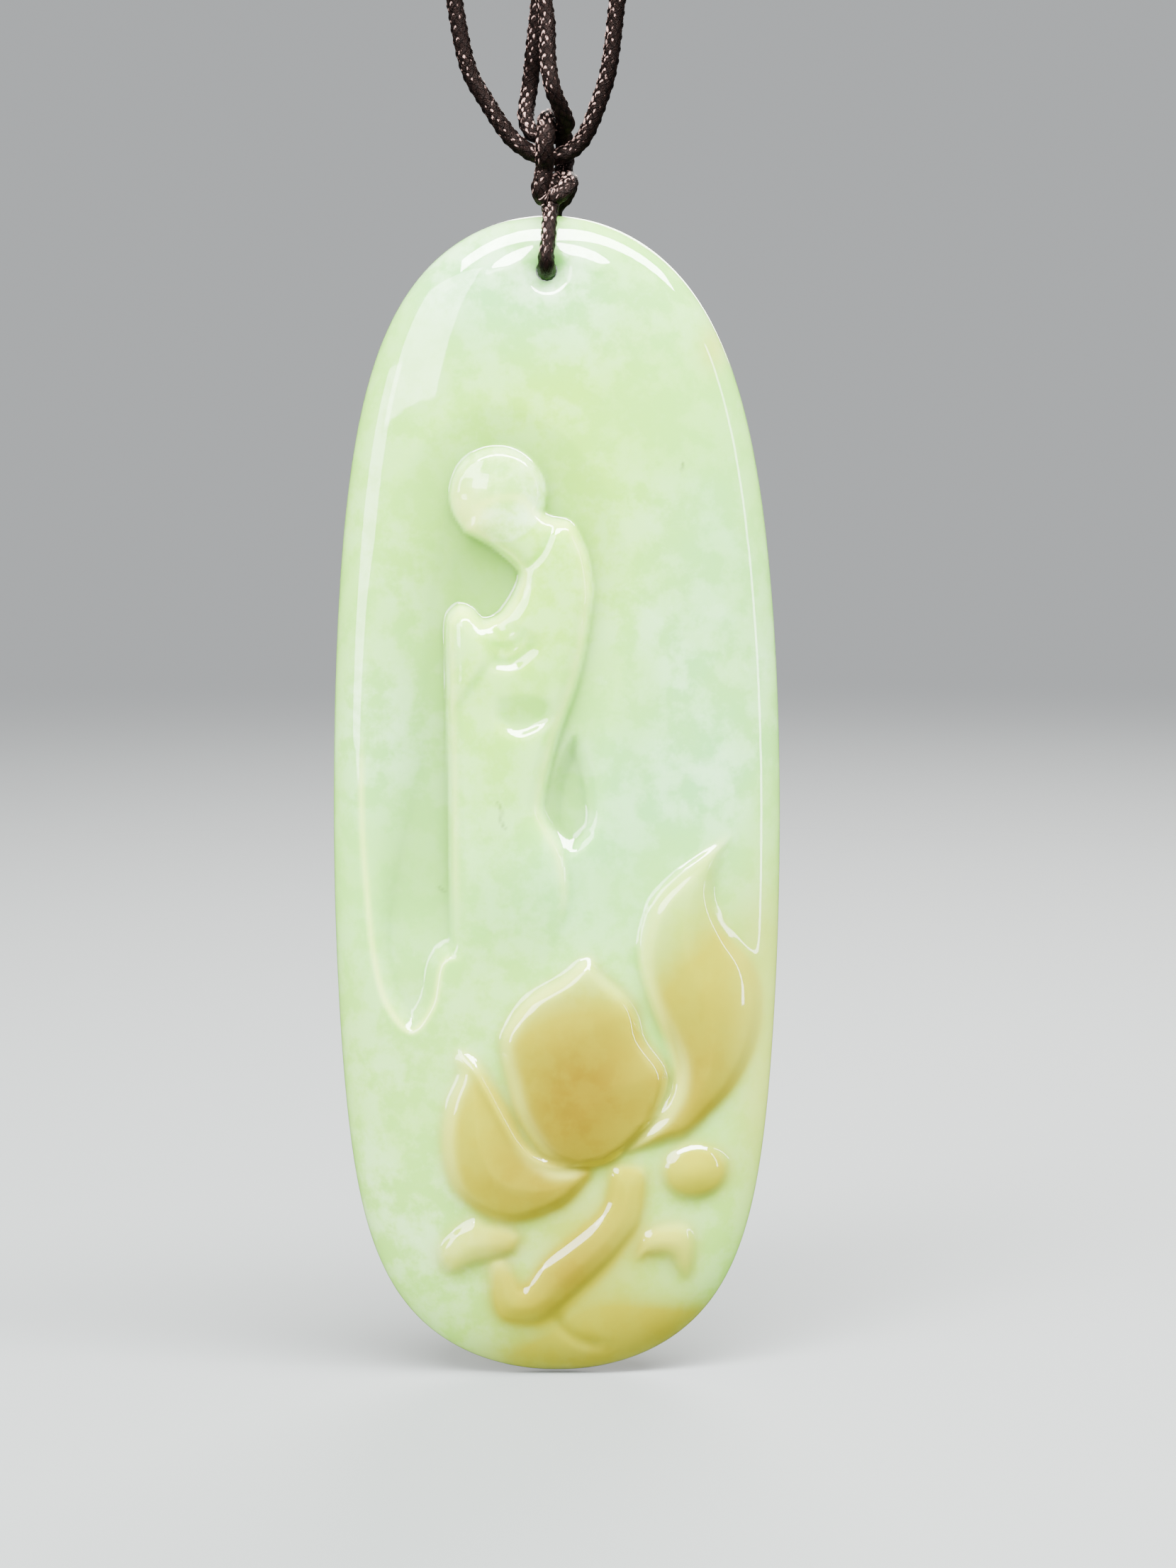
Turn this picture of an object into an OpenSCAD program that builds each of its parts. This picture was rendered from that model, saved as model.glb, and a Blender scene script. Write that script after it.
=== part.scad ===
// Carved jade pendant hanging on a braided cord necklace.
// Millimetres, +Z up, +X to the right, the carved face looks along -Y.
// The origin is the point where the cords rest on the neck, at the top of the necklace.

/* [Plaque] */
// Width of the stone at its widest level
plaque_w = 25.2; // [20:0.1:32]
// Height of the stone
plaque_h = 65.5; // [52:0.1:84]
// Share of the height at which the stone is widest
waist_share = 0.475; // [0.42:0.005:0.53]
// Thickness of the carved face, from the rim plane to the crown of its dome
front_t = 3.3; // [2.6:0.1:4.5]
// Thickness of the plain back, from the rim plane to the crown of its dome
back_t = 2.9; // [2.4:0.1:4]
// How far the top of the stone leans to the left
top_lean = 0.42; // [0:0.02:1]

/* [Relief] */
// Depth of the lowered ground round the figure
ground_d = 0.75; // [0.3:0.05:1]
// Height of the robe over the lowered ground
robe_h = 1; // [0.4:0.05:1.4]
// Height of the round head over the lowered ground
head_h = 1.45; // [0.6:0.05:1.8]
// Depth of the scoop beside the robe
scoop_d = 0.45; // [0.1:0.05:0.7]
// Depth of the folds cut into the robe
fold_d = 0.3; // [0.1:0.05:0.5]
// Height of the lotus petals over the face
petal_h = 0.9; // [0.4:0.05:1.3]
// Height of the stem, the leaves and the bud over the face
leaf_h = 0.6; // [0.3:0.05:1]
// Depth of the shallow channel cut round the lotus
channel_d = 0.35; // [0.1:0.05:0.6]
// Width of the rounding on the edge of the robe and petals
edge_r = 1.5; // [0.8:0.1:2.2]

/* [Hole] */
// Diameter of the drilled hole
hole_d = 1.2; // [1.1:0.05:1.5]
// Distance from the centre of the hole up to the top of the stone
hole_below_top = 3.05; // [2.9:0.05:3.2]
// Diameter of the countersink on each face
sink_d = 2.7; // [2:0.1:3]
// Depth of the countersink
sink_depth = 0.35; // [0.2:0.05:0.45]

/* [Cords] */
// Diameter of the necklace cord
neck_cord_d = 1; // [0.8:0.05:1.05]
// Diameter of the bail cord
bail_cord_d = 0.9; // [0.7:0.05:0.95]
// Width of the bail knot
knot_w = 2.6; // [2.2:0.1:2.9]
// Height of the bail knot
knot_h = 1.6; // [1.2:0.05:1.75]
// Diameter of the closing knot behind the neck
nape_knot_d = 3.6; // [3.2:0.1:5]
// Length of the closing knot behind the neck
nape_knot_l = 8; // [5:0.5:12]

/* [Hidden] */

JADE = "#DCEBC8";
CORD = "#3A2220";

// Sides of a cord's section.
CORD_SIDES = 8;

// Grid of the carved face, and of the plain back.
FRONT_COLS = 48;
BACK_COLS = 12;
HALF_ROWS = 48;
// Share of the way to the rim where the grid starts to close up.
EVEN_SHARE = 0.78;

top_h = plaque_h * (1 - waist_share);
bottom_h = plaque_h * waist_share;
// Heights are measured from the centre of the hole while the stone is worked out.
waist_z = hole_below_top - top_h;
half_w = plaque_w / 2;
// The hole lies off the middle line of the stone, to the left.
hole_off = 0.54;

// Fuller than an ellipse by these shares of the square and the fourth power of the height.
TOP_FULL = [0.28, 0.16];
BOTTOM_FULL = [0.31, 0.31];
// Powers of the dome: across the stone, up the stone.
DOME_ACROSS = 3.2;
DOME_UP = 4.4;

// Outlines of the relief. Columns: share of the width from the middle line, share of the height
// from the bottom.
ROBE = [
    [-0.086, 0.701], [-0.091, 0.685], [-0.112, 0.671], [-0.131, 0.663], [-0.161, 0.660],
    [-0.186, 0.669], [-0.215, 0.672], [-0.240, 0.663], [-0.246, 0.649], [-0.243, 0.579],
    [-0.240, 0.487], [-0.237, 0.378], [-0.220, 0.340], [-0.104, 0.345], [0.020, 0.400],
    [0.020, 0.457], [-0.025, 0.492], [-0.025, 0.509], [-0.012, 0.533], [0.007, 0.560],
    [0.039, 0.594], [0.064, 0.630], [0.078, 0.666], [0.082, 0.683], [0.075, 0.707],
    [0.061, 0.724], [0.034, 0.742], [-0.021, 0.748], [-0.080, 0.768], [-0.167, 0.762],
    [-0.207, 0.737], [-0.178, 0.728], [-0.135, 0.718]
];
// Head: share across, share up, radius as a share of the width.
HEAD = [-0.129, 0.765, 0.107];
GROUND = [
    [-0.250, 0.823], [-0.345, 0.780], [-0.405, 0.700], [-0.430, 0.600], [-0.435, 0.494],
    [-0.424, 0.423], [-0.408, 0.367], [-0.380, 0.328], [-0.324, 0.305], [-0.273, 0.328],
    [-0.247, 0.367], [-0.170, 0.372], [-0.025, 0.440], [0.039, 0.460], [0.092, 0.497],
    [0.110, 0.549], [0.150, 0.630], [0.165, 0.713], [0.110, 0.775], [0.000, 0.823],
    [-0.130, 0.842]
];
SCOOP = [
    [-0.025, 0.492], [-0.021, 0.509], [-0.004, 0.533], [0.023, 0.555], [0.047, 0.561],
    [0.078, 0.533], [0.094, 0.497], [0.083, 0.475], [0.039, 0.460], [0.000, 0.469], [-0.021, 0.481]
];
// Folds of the robe: an open line each, the two ends fading out.
BIG_FOLD = [
    [-0.135, 0.584], [-0.140, 0.570], [-0.118, 0.563], [-0.078, 0.558], [-0.045, 0.563],
    [-0.023, 0.569], [-0.006, 0.575]
];
SLEEVE_FOLD = [[-0.161, 0.659], [-0.143, 0.644], [-0.141, 0.622], [-0.152, 0.612], [-0.088, 0.617]];
RIGHT_PETAL = [
    [0.381, 0.472], [0.284, 0.447], [0.220, 0.423], [0.194, 0.400], [0.183, 0.373],
    [0.194, 0.346], [0.220, 0.318], [0.250, 0.295], [0.264, 0.275], [0.259, 0.256],
    [0.234, 0.238], [0.189, 0.219], [0.150, 0.200], [0.245, 0.209], [0.296, 0.215],
    [0.345, 0.233], [0.391, 0.252], [0.426, 0.275], [0.446, 0.295], [0.457, 0.318],
    [0.454, 0.341], [0.432, 0.365], [0.385, 0.391], [0.352, 0.421], [0.362, 0.450]
];
CENTRE_PETAL = [
    [0.071, 0.373], [0.009, 0.356], [-0.067, 0.338], [-0.115, 0.314], [-0.129, 0.295],
    [-0.112, 0.263], [-0.088, 0.232], [-0.032, 0.200], [0.030, 0.188], [0.110, 0.190],
    [0.185, 0.212], [0.229, 0.237], [0.250, 0.271], [0.197, 0.303], [0.180, 0.332], [0.118, 0.356]
];
LEFT_PETAL = [
    [-0.212, 0.290], [-0.229, 0.282], [-0.223, 0.269], [-0.246, 0.247], [-0.259, 0.216],
    [-0.250, 0.184], [-0.218, 0.160], [-0.156, 0.144], [-0.094, 0.139], [-0.020, 0.147],
    [0.036, 0.160], [0.080, 0.186], [0.001, 0.191], [-0.040, 0.199], [-0.074, 0.213],
    [-0.102, 0.237], [-0.135, 0.263], [-0.170, 0.282]
];
STEM = [
    [0.124, 0.188], [0.112, 0.158], [0.078, 0.138], [0.023, 0.120], [-0.032, 0.103],
    [-0.075, 0.081], [-0.091, 0.090], [-0.116, 0.106], [-0.151, 0.104], [-0.154, 0.084],
    [-0.143, 0.060], [-0.112, 0.049], [-0.032, 0.051], [0.036, 0.073], [0.118, 0.104],
    [0.166, 0.127], [0.188, 0.142], [0.200, 0.168], [0.197, 0.188]
];
LEFT_LEAF = [
    [-0.183, 0.144], [-0.229, 0.134], [-0.262, 0.119], [-0.269, 0.106], [-0.250, 0.094],
    [-0.223, 0.093], [-0.183, 0.101], [-0.153, 0.104], [-0.116, 0.109], [-0.090, 0.114],
    [-0.083, 0.129], [-0.123, 0.137], [-0.156, 0.139]
];
RIGHT_LEAF = [
    [0.191, 0.129], [0.231, 0.137], [0.284, 0.138], [0.308, 0.129], [0.308, 0.111],
    [0.294, 0.088], [0.272, 0.096], [0.251, 0.108], [0.205, 0.109], [0.178, 0.106]
];
// Bud: share across, share up, radius across and radius up as shares of the width.
BUD = [0.310, 0.184, 0.078, 0.066];

// Routes of the cords, measured from the centre of the hole: right, back, up.
BAIL_LOOP_ROUTE = [
    [0.2, -0.9, 3.6], [0.2, -1.12, 3.38], [0.2, -1.42, 3.05], [0.15, -1.9, 2.4], [0.1, -2.25, 1.6],
    [0, -2.45, 0.9], [0, -2.4, 0.4], [0, -2.1, 0.1], [0, -1.6, 0], [0, 0, 0], [0, 1.4, 0],
    [0, 1.9, 0.1], [0, 2.2, 0.4], [0, 2.25, 0.9], [0.1, 2.15, 1.6], [0.2, 1.95, 2.3],
    [0.4, 1.62, 2.97], [0.45, 1.2, 3.35], [0.5, 0.92, 3.6]
];
BAIL_EYE_ROUTE = [
    [-0.1, -0.85, 5.5], [-0.1, -1.03, 5.75], [-0.1, -1.3, 6.15], [-0.1, -1.4, 6.9], [0, -1.25, 7.7],
    [0, -0.8, 8.3], [0.3, 0, 8.55], [0.6, 0.75, 8.3], [0.85, 1.2, 7.7], [1, 1.4, 6.9],
    [1, 1.3, 6.15], [0.95, 1.06, 5.75], [0.9, 0.88, 5.5]
];
OUTER_ROUTE = [
    [-4.1, -0.75, 287.5], [-6, -0.75, 287.4], [-12, -0.75, 286.3], [-24, -0.75, 282.4],
    [-37.5, -0.75, 273.9],
    [-49, -0.75, 261], [-56, -0.75, 246], [-58.5, -0.75, 229], [-56.6, -0.75, 214.4],
    [-44, -0.75, 166], [-26, -0.75, 97], [-9, -0.75, 32], [-5.9, -0.4, 20], [-5.2, -0.1, 15.5],
    [-4.4, -0.1, 11.4], [-3.3, -0.15, 9.3], [-2.1, -0.2, 7.5], [-1.3, -0.25, 6.8],
    [-0.6, -0.25, 6.4], [0, -0.2, 6.3], [0.7, -0.1, 6.35], [1.5, 0.15, 6.75], [2.2, 0.2, 7.6],
    [2.9, 0.15, 9.3], [3.5, 0.1, 11.4], [4, 0, 15.5], [4.6, -0.4, 20], [8, -0.75, 32],
    [26, -0.75, 99], [44, -0.75, 167], [56.6, -0.75, 214.4], [58.5, -0.75, 229],
    [56, -0.75, 246], [49, -0.75, 261], [37.5, -0.75, 273.9], [24, -0.75, 282.4],
    [12, -0.75, 286.3], [6, -0.75, 287.4], [4.1, -0.75, 287.5]
];
INNER_ROUTE = [
    [-4.1, 0.75, 287.5], [-6, 0.75, 287.4], [-12, 0.75, 286.3], [-24, 0.75, 282.4],
    [-37.5, 0.75, 273.9],
    [-49, 0.75, 261], [-56, 0.75, 246], [-58.5, 0.75, 229], [-56.3, 0.75, 213],
    [-43, 0.75, 167], [-23.5, 0.75, 100], [-4.5, 0.9, 34], [-1.6, 1, 23], [-0.6, 1, 18],
    [-0.4, 1, 15.5], [-0.7, 1.2, 12.5], [-0.9, 1.5, 10.6], [-1.1, 1.4, 9.3], [-1.15, 1, 8.4],
    [-0.75, 0.45, 7.6], [0, 0.2, 7.45], [0.7, -0.15, 7.6], [1.1, -0.85, 8.1],
    [0.8, -1.55, 8.9], [0.35, -1.9, 10], [0.1, -1.7, 11.5], [0.05, -1.4, 13.5],
    [-0.1, -1.2, 15.5], [0.6, -1, 18.5], [2, -0.8, 24], [4.5, 0, 34], [23.5, 0.75, 100],
    [43, 0.75, 167], [56.3, 0.75, 213], [58.5, 0.75, 229], [56, 0.75, 246], [49, 0.75, 261],
    [37.5, 0.75, 273.9], [24, 0.75, 282.4], [12, 0.75, 286.3], [6, 0.75, 287.4], [4.1, 0.75, 287.5]
];
// Foot of the knot over the hole.
KNOT_LOW = 3.82;
// Middle of the knot, right and back of the centre of the hole.
KNOT_AT = [0.35, 0];

function clamp01(v) = max(0, min(1, v));
function smooth(v) = let(c = clamp01(v)) c * c * (3 - 2 * c);
// A quarter round that rises from 0 at the edge to 1 at a distance r inside it.
function quarter(d, r) = let(c = clamp01(d / r)) sqrt(c * (2 - c));

// Even steps in the middle, closing up to nothing at 1.
function eased(v) =
    abs(v) < EVEN_SHARE ? v * 2 / (1 + EVEN_SHARE)
    : sign(v) * (1 - pow(1 - abs(v), 2) / (1 - pow(EVEN_SHARE, 2)));

// Share of the height over or under the waist, from -1 at the bottom to 1 at the top.
function level_share(z) = (z - waist_z) / (z > waist_z ? top_h : bottom_h);
function level_z(t) = waist_z + t * (t > 0 ? top_h : bottom_h);
function half_width(t) =
    let(full = t > 0 ? TOP_FULL : BOTTOM_FULL, s = min(1, t * t))
    half_w * sqrt(1 - s) * (1 + full[0] * s + full[1] * s * s);
function middle_x(t) = hole_off - (t > 0 ? top_lean * t * t : 0);
function dome(u, t) =
    sqrt(max(0, 1 - pow(abs(u), DOME_ACROSS))) * sqrt(max(0, 1 - pow(abs(t), DOME_UP)));

function seg_dist(p, a, b) =
    let(ab = b - a, s = clamp01(((p - a) * ab) / (ab * ab))) norm(p - a - s * ab);
function crosses(p, a, b) =
    (a.y > p.y) != (b.y > p.y) && p.x < (b.x - a.x) * (p.y - a.y) / (b.y - a.y) + a.x ? 1 : 0;
function total(list) = [for (v = list) 1] * list;
function placed(outline) =
    [for (q = outline) [hole_off + q[0] * plaque_w, waist_z - bottom_h + q[1] * plaque_h]];
function near_line(p, line) =
    min([for (i = [0 : len(line) - 2]) seg_dist(p, line[i], line[i + 1])]);
// Distance inside an outline, negative outside it.
function inside(p, line) =
    let(
        n = len(line),
        d = min([for (i = [0 : n - 1]) seg_dist(p, line[i], line[(i + 1) % n])]),
        odd = total([for (i = [0 : n - 1]) crosses(p, line[i], line[(i + 1) % n])]) % 2
    )
    odd == 1 ? d : -d;

robe_line = placed(ROBE);
ground_line = placed(GROUND);
scoop_line = placed(SCOOP);
big_fold_line = placed(BIG_FOLD);
sleeve_fold_line = placed(SLEEVE_FOLD);
petal_lines = [for (q = [RIGHT_PETAL, LEFT_PETAL, CENTRE_PETAL]) placed(q)];
leaf_lines = [for (q = [STEM, LEFT_LEAF, RIGHT_LEAF]) placed(q)];
head_at = placed([HEAD])[0];
head_r = HEAD[2] * plaque_w;
bud_at = placed([BUD])[0];
bud_r = [BUD[2] * plaque_w, BUD[3] * plaque_w];

// Levels between which the robe sinks into the face again, as shares of the height.
ROBE_FADE = [0.35, 0.45];
// The ground's slope is short round its lower left end and long elsewhere.
SLOPE_SHORT = 1.1;
SLOPE_LONG = 3.2;
SLOPE_LEVELS = [0.36, 0.56];
FOLD_HALF_W = 0.55;
CHANNEL_REACH = 1.4;
// The scoop reaches its depth sooner, and the leaves their height, by these shares of edge_r.
SCOOP_EDGE = 0.7;
LEAF_EDGE = 0.7;
// The middle petal lies this much over its neighbours.
PETAL_LAP = 0.15;
// The relief is whole where the dome is this share of its height.
RIM_SHARE = 0.45;
// The countersink's cone is cut this far past the face.
SINK_RISE = 0.5;
// The necklace lies on the underside of the outer cord, and the closing knot is in line with the cords.
neck_drop = OUTER_ROUTE[0].z - neck_cord_d / 2;
NAPE_KNOT_UP = 0.35;

function share_up(z) = (z - waist_z + bottom_h) / plaque_h;
function ground_at(p) =
    let(
        up = smooth((share_up(p.y) - SLOPE_LEVELS[0]) / (SLOPE_LEVELS[1] - SLOPE_LEVELS[0])),
        slope = SLOPE_SHORT + (SLOPE_LONG - SLOPE_SHORT) * up
    )
    ground_d * smooth(inside(p, ground_line) / slope);
function head_over(p) =
    let(d = norm(p - head_at) / head_r)
    d < 1 ? head_h * sqrt(1 - d * d * d) : 0;
// Height of the robe's crown over the face. It sinks to the face below.
function crown_at(z) =
    (robe_h - ground_d) * smooth((share_up(z) - ROBE_FADE[0]) / (ROBE_FADE[1] - ROBE_FADE[0]));
function folds_at(p) =
    fold_d * (smooth(1 - near_line(p, big_fold_line) / FOLD_HALF_W)
    + smooth(1 - near_line(p, sleeve_fold_line) / FOLD_HALF_W));
function scoop_at(p) = scoop_d * smooth(inside(p, scoop_line) / (edge_r * SCOOP_EDGE));
function figure_relief(p) =
    let(
        low = -ground_at(p) - scoop_at(p),
        cover = quarter(inside(p, robe_line), edge_r),
        robe = low + (crown_at(p.y) - folds_at(p) - low) * cover
    )
    max(low + head_over(p), robe);

function bud_in(p) = let(q = p - bud_at) (1 - norm([q.x / bud_r.x, q.y / bud_r.y])) * bud_r.y;
function lotus_relief(p) =
    let(
        petals = [for (line = petal_lines) inside(p, line)],
        leaves = concat([for (line = leaf_lines) inside(p, line)], [bud_in(p)]),
        d = max(max(petals), max(leaves)),
        channel = channel_d * smooth(1 + min(0, d) / CHANNEL_REACH),
        over = max(
            [for (i = [0 : 2]) (petal_h + (i == 2 ? PETAL_LAP : 0)) * quarter(petals[i], edge_r)]
        ),
        leaf_over = max([for (v = leaves) leaf_h * quarter(v, edge_r * LEAF_EDGE)])
    )
    max(over, leaf_over) - channel * smooth(1 - max(0, d) / CHANNEL_REACH);

// Levels that hold the figure and the lotus, as shares of the height.
FIGURE_FROM = 0.3;
FIGURE_TO = 0.86;
LOTUS_TO = 0.5;
function relief(p) =
    let(s = share_up(p.y))
    (s > FIGURE_FROM && s < FIGURE_TO ? figure_relief(p) : 0) + (s < LOTUS_TO ? lotus_relief(p) : 0);

// The relief dies away where the rim rounds over, so that the rim stays plain.
function front_y(u, t) =
    let(p = [middle_x(t) + u * half_width(t), level_z(t)], d = dome(u, t))
    -(front_t * d + relief(p) * smooth(d / RIM_SHARE));
function back_y(u, t) = back_t * dome(u, t);

function ring(t) =
    let(w = half_width(t), x = middle_x(t), z = level_z(t))
    concat(
        [for (i = [0 : FRONT_COLS])
            let(u = eased(2 * i / FRONT_COLS - 1)) [x + u * w, front_y(u, t), z]],
        [for (i = [1 : BACK_COLS - 1])
            let(u = eased(1 - 2 * i / BACK_COLS)) [x + u * w, back_y(u, t), z]]
    );
function flat(lists) = [for (one = lists) each one];

// Closes a stack of rings with the same number of points into a solid, with a fan at each end.
module skin(rings, first, last) {
    n = len(rings[0]);
    m = len(rings);
    points = concat([first], flat(rings), [last]);
    at = function(j, i) 1 + j * n + i % n;
    faces = concat(
        [for (i = [0 : n - 1]) [0, at(0, i), at(0, i + 1)]],
        [for (j = [0 : m - 2]) for (i = [0 : n - 1]) each [
            [at(j, i), at(j + 1, i), at(j + 1, i + 1)],
            [at(j, i), at(j + 1, i + 1), at(j, i + 1)]
        ]],
        [for (i = [0 : n - 1]) [1 + m * n, at(m - 1, i + 1), at(m - 1, i)]]
    );
    polyhedron(points = points, faces = faces, convexity = 8);
}

function unit(v) = v / norm(v);
// Smooth curve through the route, with a number of steps between neighbouring points.
function curve_point(a, b, c, d, s) =
    0.5 * (2 * b + (c - a) * s + (2 * a - 5 * b + 4 * c - d) * s * s
    + (3 * b - a - 3 * c + d) * s * s * s);
function curve(route, steps) =
    let(n = len(route))
    concat(
        [for (i = [0 : n - 2]) for (k = [0 : steps - 1])
            curve_point(
                route[max(0, i - 1)], route[i], route[i + 1], route[min(n - 1, i + 2)], k / steps
            )],
        [route[n - 1]]
    );
// Tube of a cord. The side that across names stays level as the tube turns.
module cord(route, d, across, steps = 2) {
    line = curve(route, steps);
    n = len(line);
    rings = [for (i = [0 : n - 1])
        let(
            along = unit(line[min(n - 1, i + 1)] - line[max(0, i - 1)]),
            side = unit(across - (across * along) * along),
            up = cross(along, side)
        )
        [for (k = [0 : CORD_SIDES - 1])
            let(a = 360 * k / CORD_SIDES) line[i] + d / 2 * (cos(a) * side + sin(a) * up)]
    ];
    skin(rings, line[0], line[n - 1]);
}

module from_hole() {
    translate([0, 0, -neck_drop]) children();
}

module jade_plaque() {
    rows = [for (j = [1 - HALF_ROWS : HALF_ROWS - 1]) ring(eased(j / HALF_ROWS))];
    hole_t = level_share(0);
    hole_u = -middle_x(hole_t) / half_width(hole_t);
    front = front_y(hole_u, hole_t);
    back = back_y(hole_u, hole_t);
    color(JADE) from_hole() difference() {
        skin(rows, [middle_x(-1), 0, level_z(-1)], [middle_x(1), 0, level_z(1)]);
        rotate([90, 0, 0]) cylinder(d = hole_d, h = 4 * front_t, center = true, $fn = 32);
        translate([0, front, 0]) sink(90);
        translate([0, back, 0]) sink(-90);
    }
}

// Cone that widens outwards past the face, which lies at the origin.
module sink(turn) {
    h = sink_depth + SINK_RISE;
    widening = (sink_d - hole_d) / sink_depth;
    rotate([turn, 0, 0]) translate([0, 0, -sink_depth])
        cylinder(d1 = hole_d, d2 = hole_d + widening * h, h = h, $fn = 48);
}

module bail_loop() {
    color(CORD) from_hole() cord(BAIL_LOOP_ROUTE, bail_cord_d, [1, 0, 0]);
}

module bail_eye() {
    color(CORD) from_hole() cord(BAIL_EYE_ROUTE, bail_cord_d, [1, 0, 0]);
}

// Barrel with sloped shoulders and flat ends that the strands run into.
module bail_knot() {
    r = knot_w / 2;
    flat_r = r - knot_h / 4;
    color(CORD) from_hole() translate([KNOT_AT.x, KNOT_AT.y, KNOT_LOW])
        rotate_extrude($fn = 48)
            polygon([
                [0, 0], [flat_r, 0], [r, knot_h / 4], [r, knot_h * 3 / 4], [flat_r, knot_h], [0, knot_h]
            ]);
}

module neck_cord_outer() {
    color(CORD) from_hole() cord(OUTER_ROUTE, neck_cord_d, [0, 1, 0]);
}

module neck_cord_inner() {
    color(CORD) from_hole() cord(INNER_ROUTE, neck_cord_d, [0, 1, 0]);
}

module nape_knot() {
    color(CORD) from_hole() translate([0, 0, OUTER_ROUTE[0].z + NAPE_KNOT_UP])
        rotate([0, 90, 0]) cylinder(d = nape_knot_d, h = nape_knot_l, center = true, $fn = 32);
}

jade_plaque();
bail_loop();
bail_knot();
bail_eye();
neck_cord_outer();
neck_cord_inner();
nape_knot();
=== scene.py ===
"""Looks of a carved jade pendant that hangs on a braided cord necklace.

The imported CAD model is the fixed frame. Each of its nodes is carried by one finer piece here: the stone with its
carving, the cords with their braid, the bail's knot and the closing knot at the nape. Lengths are worked out in
millimetres from the centre of the drilled hole (right, back, up) and become metres when a mesh is made.
"""

import logging
import math
from dataclasses import dataclass
from enum import Enum

import bpy
import numpy as np
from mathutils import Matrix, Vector


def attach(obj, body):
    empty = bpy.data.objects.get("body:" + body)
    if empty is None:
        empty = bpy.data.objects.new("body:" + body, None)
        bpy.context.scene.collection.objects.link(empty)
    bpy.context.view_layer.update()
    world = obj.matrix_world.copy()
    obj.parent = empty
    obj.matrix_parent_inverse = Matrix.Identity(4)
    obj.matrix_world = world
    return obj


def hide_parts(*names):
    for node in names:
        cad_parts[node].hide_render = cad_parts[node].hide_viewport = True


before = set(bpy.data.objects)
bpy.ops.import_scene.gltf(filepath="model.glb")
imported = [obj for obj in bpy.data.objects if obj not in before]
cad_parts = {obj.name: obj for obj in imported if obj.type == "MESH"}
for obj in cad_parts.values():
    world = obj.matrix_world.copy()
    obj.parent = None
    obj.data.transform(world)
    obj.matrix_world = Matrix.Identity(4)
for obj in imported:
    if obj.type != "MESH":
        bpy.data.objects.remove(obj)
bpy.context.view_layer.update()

MM = 0.001
# From the point where the cords rest on the neck down to the centre of the drilled hole, in millimetres.
HOLE_BELOW_NECK = 287.0

log = logging.getLogger("jade_pendant")
Array = np.ndarray
Points = list[tuple[float, ...]]


class Slot(Enum):
    """Material slots of the record."""

    JADE = "jade"
    CORD = "cord"


class Body(Enum):
    """Bodies of the model that the pieces ride on."""

    PENDANT = "pendant"
    NECKLACE = "necklace"


class Tint(Enum):
    """Colours of the stone that are painted on its mesh as shares, each in an attribute of that name."""

    LIME = "lime"
    MINT = "mint"
    MILK = "milk"
    LEMON = "lemon"
    AMBER = "amber"
    # Painted shade: a darker green in the lowered ground and its corners.
    PAINTED_SHADE = "deep"
    # Painted highlights and painted glow, and the leaves' own paler tone.
    PAINTED_LIGHT_AND_PALE = "bright"
    # Dark cracks, and painted shade on the bore's wall.
    DARK = "dark"


# Tints that lie blurred under the back, and tints that lie on the carved face only: the painted shade and the painted
# highlights and glow.
WITHIN = (Tint.LEMON, Tint.AMBER)
FACE_ONLY = (Tint.PAINTED_SHADE, Tint.PAINTED_LIGHT_AND_PALE)
# Steps of a carved line's curve between two of its points.
SPANS = 6
# The braid of every cord: strands of each lay round it, and how much of a strand's height is its rise over the other.
STRANDS = 6
BRAID_RISE = 0.45
# Diameters of the cords, and the directions that their rings start from.
NECK_CORD = 1.0
BAIL_CORD = 0.9
RIGHT = (1.0, 0.0, 0.0)
BACK = (0.0, 1.0, 0.0)


def clamp(v: Array) -> Array:
    """Returns v held between 0 and 1."""
    return np.clip(v, 0.0, 1.0)


def smooth(v: Array) -> Array:
    """Returns the soft step 3v^2 - 2v^3 of v held between 0 and 1."""
    c = clamp(v)
    return c * c * (3 - 2 * c)


def quarter(d: Array, r: float) -> Array:
    """Returns a quarter round: it rises from 0 at the edge to 1 at the distance r inside it."""
    c = clamp(d / r)
    return np.sqrt(c * (2 - c))


def bevel(d: Array, wide: float | Array) -> Array:
    """Returns a straight slope: it rises from 0 at the edge to 1 at the distance wide inside it."""
    return clamp(d / wide)


def higher(a: Array, b: Array, soft: float) -> Array:
    """Returns the larger of a and b, rounded over where they are within soft of each other."""
    share = clamp(0.5 + (a - b) / (2 * soft))
    return b + (a - b) * share + soft * share * (1 - share)


def bell(d: Array, half: float) -> Array:
    """Returns exp(-(d/half)^2), a soft ridge round d = 0."""
    return np.exp(-((d / half) ** 2))


def spline(points: Points | Array, steps: int, closed: bool = False) -> Array:
    """Works out a Catmull-Rom curve through the points.

    A span between points b and c, with neighbours a and d, is half of
    2b + (c - a)s + (2a - 5b + 4c - d)s^2 + (3b - a - 3c + d)s^3.

    Args:
        points: The points that the curve passes.
        steps: Steps in each span.
        closed: True for a loop.

    Returns:
        The curve's points, one row each. A loop ends in its first point again.
    """
    p = np.asarray(points, float)
    if closed:
        p = np.concatenate([p[-1:], p, p[:2]])
    else:
        p = np.concatenate([p[:1], p, p[-1:]])
    a, b, c, d = p[:-3, None], p[1:-2, None], p[2:-1, None], p[3:, None]
    s = (np.arange(steps) / steps)[None, :, None]
    span = 0.5 * (2 * b + (c - a) * s + (2 * a - 5 * b + 4 * c - d) * s**2 + (3 * b - a - 3 * c + d) * s**3)
    return np.concatenate([span.reshape(-1, p.shape[1]), p[-2][None]])


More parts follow.
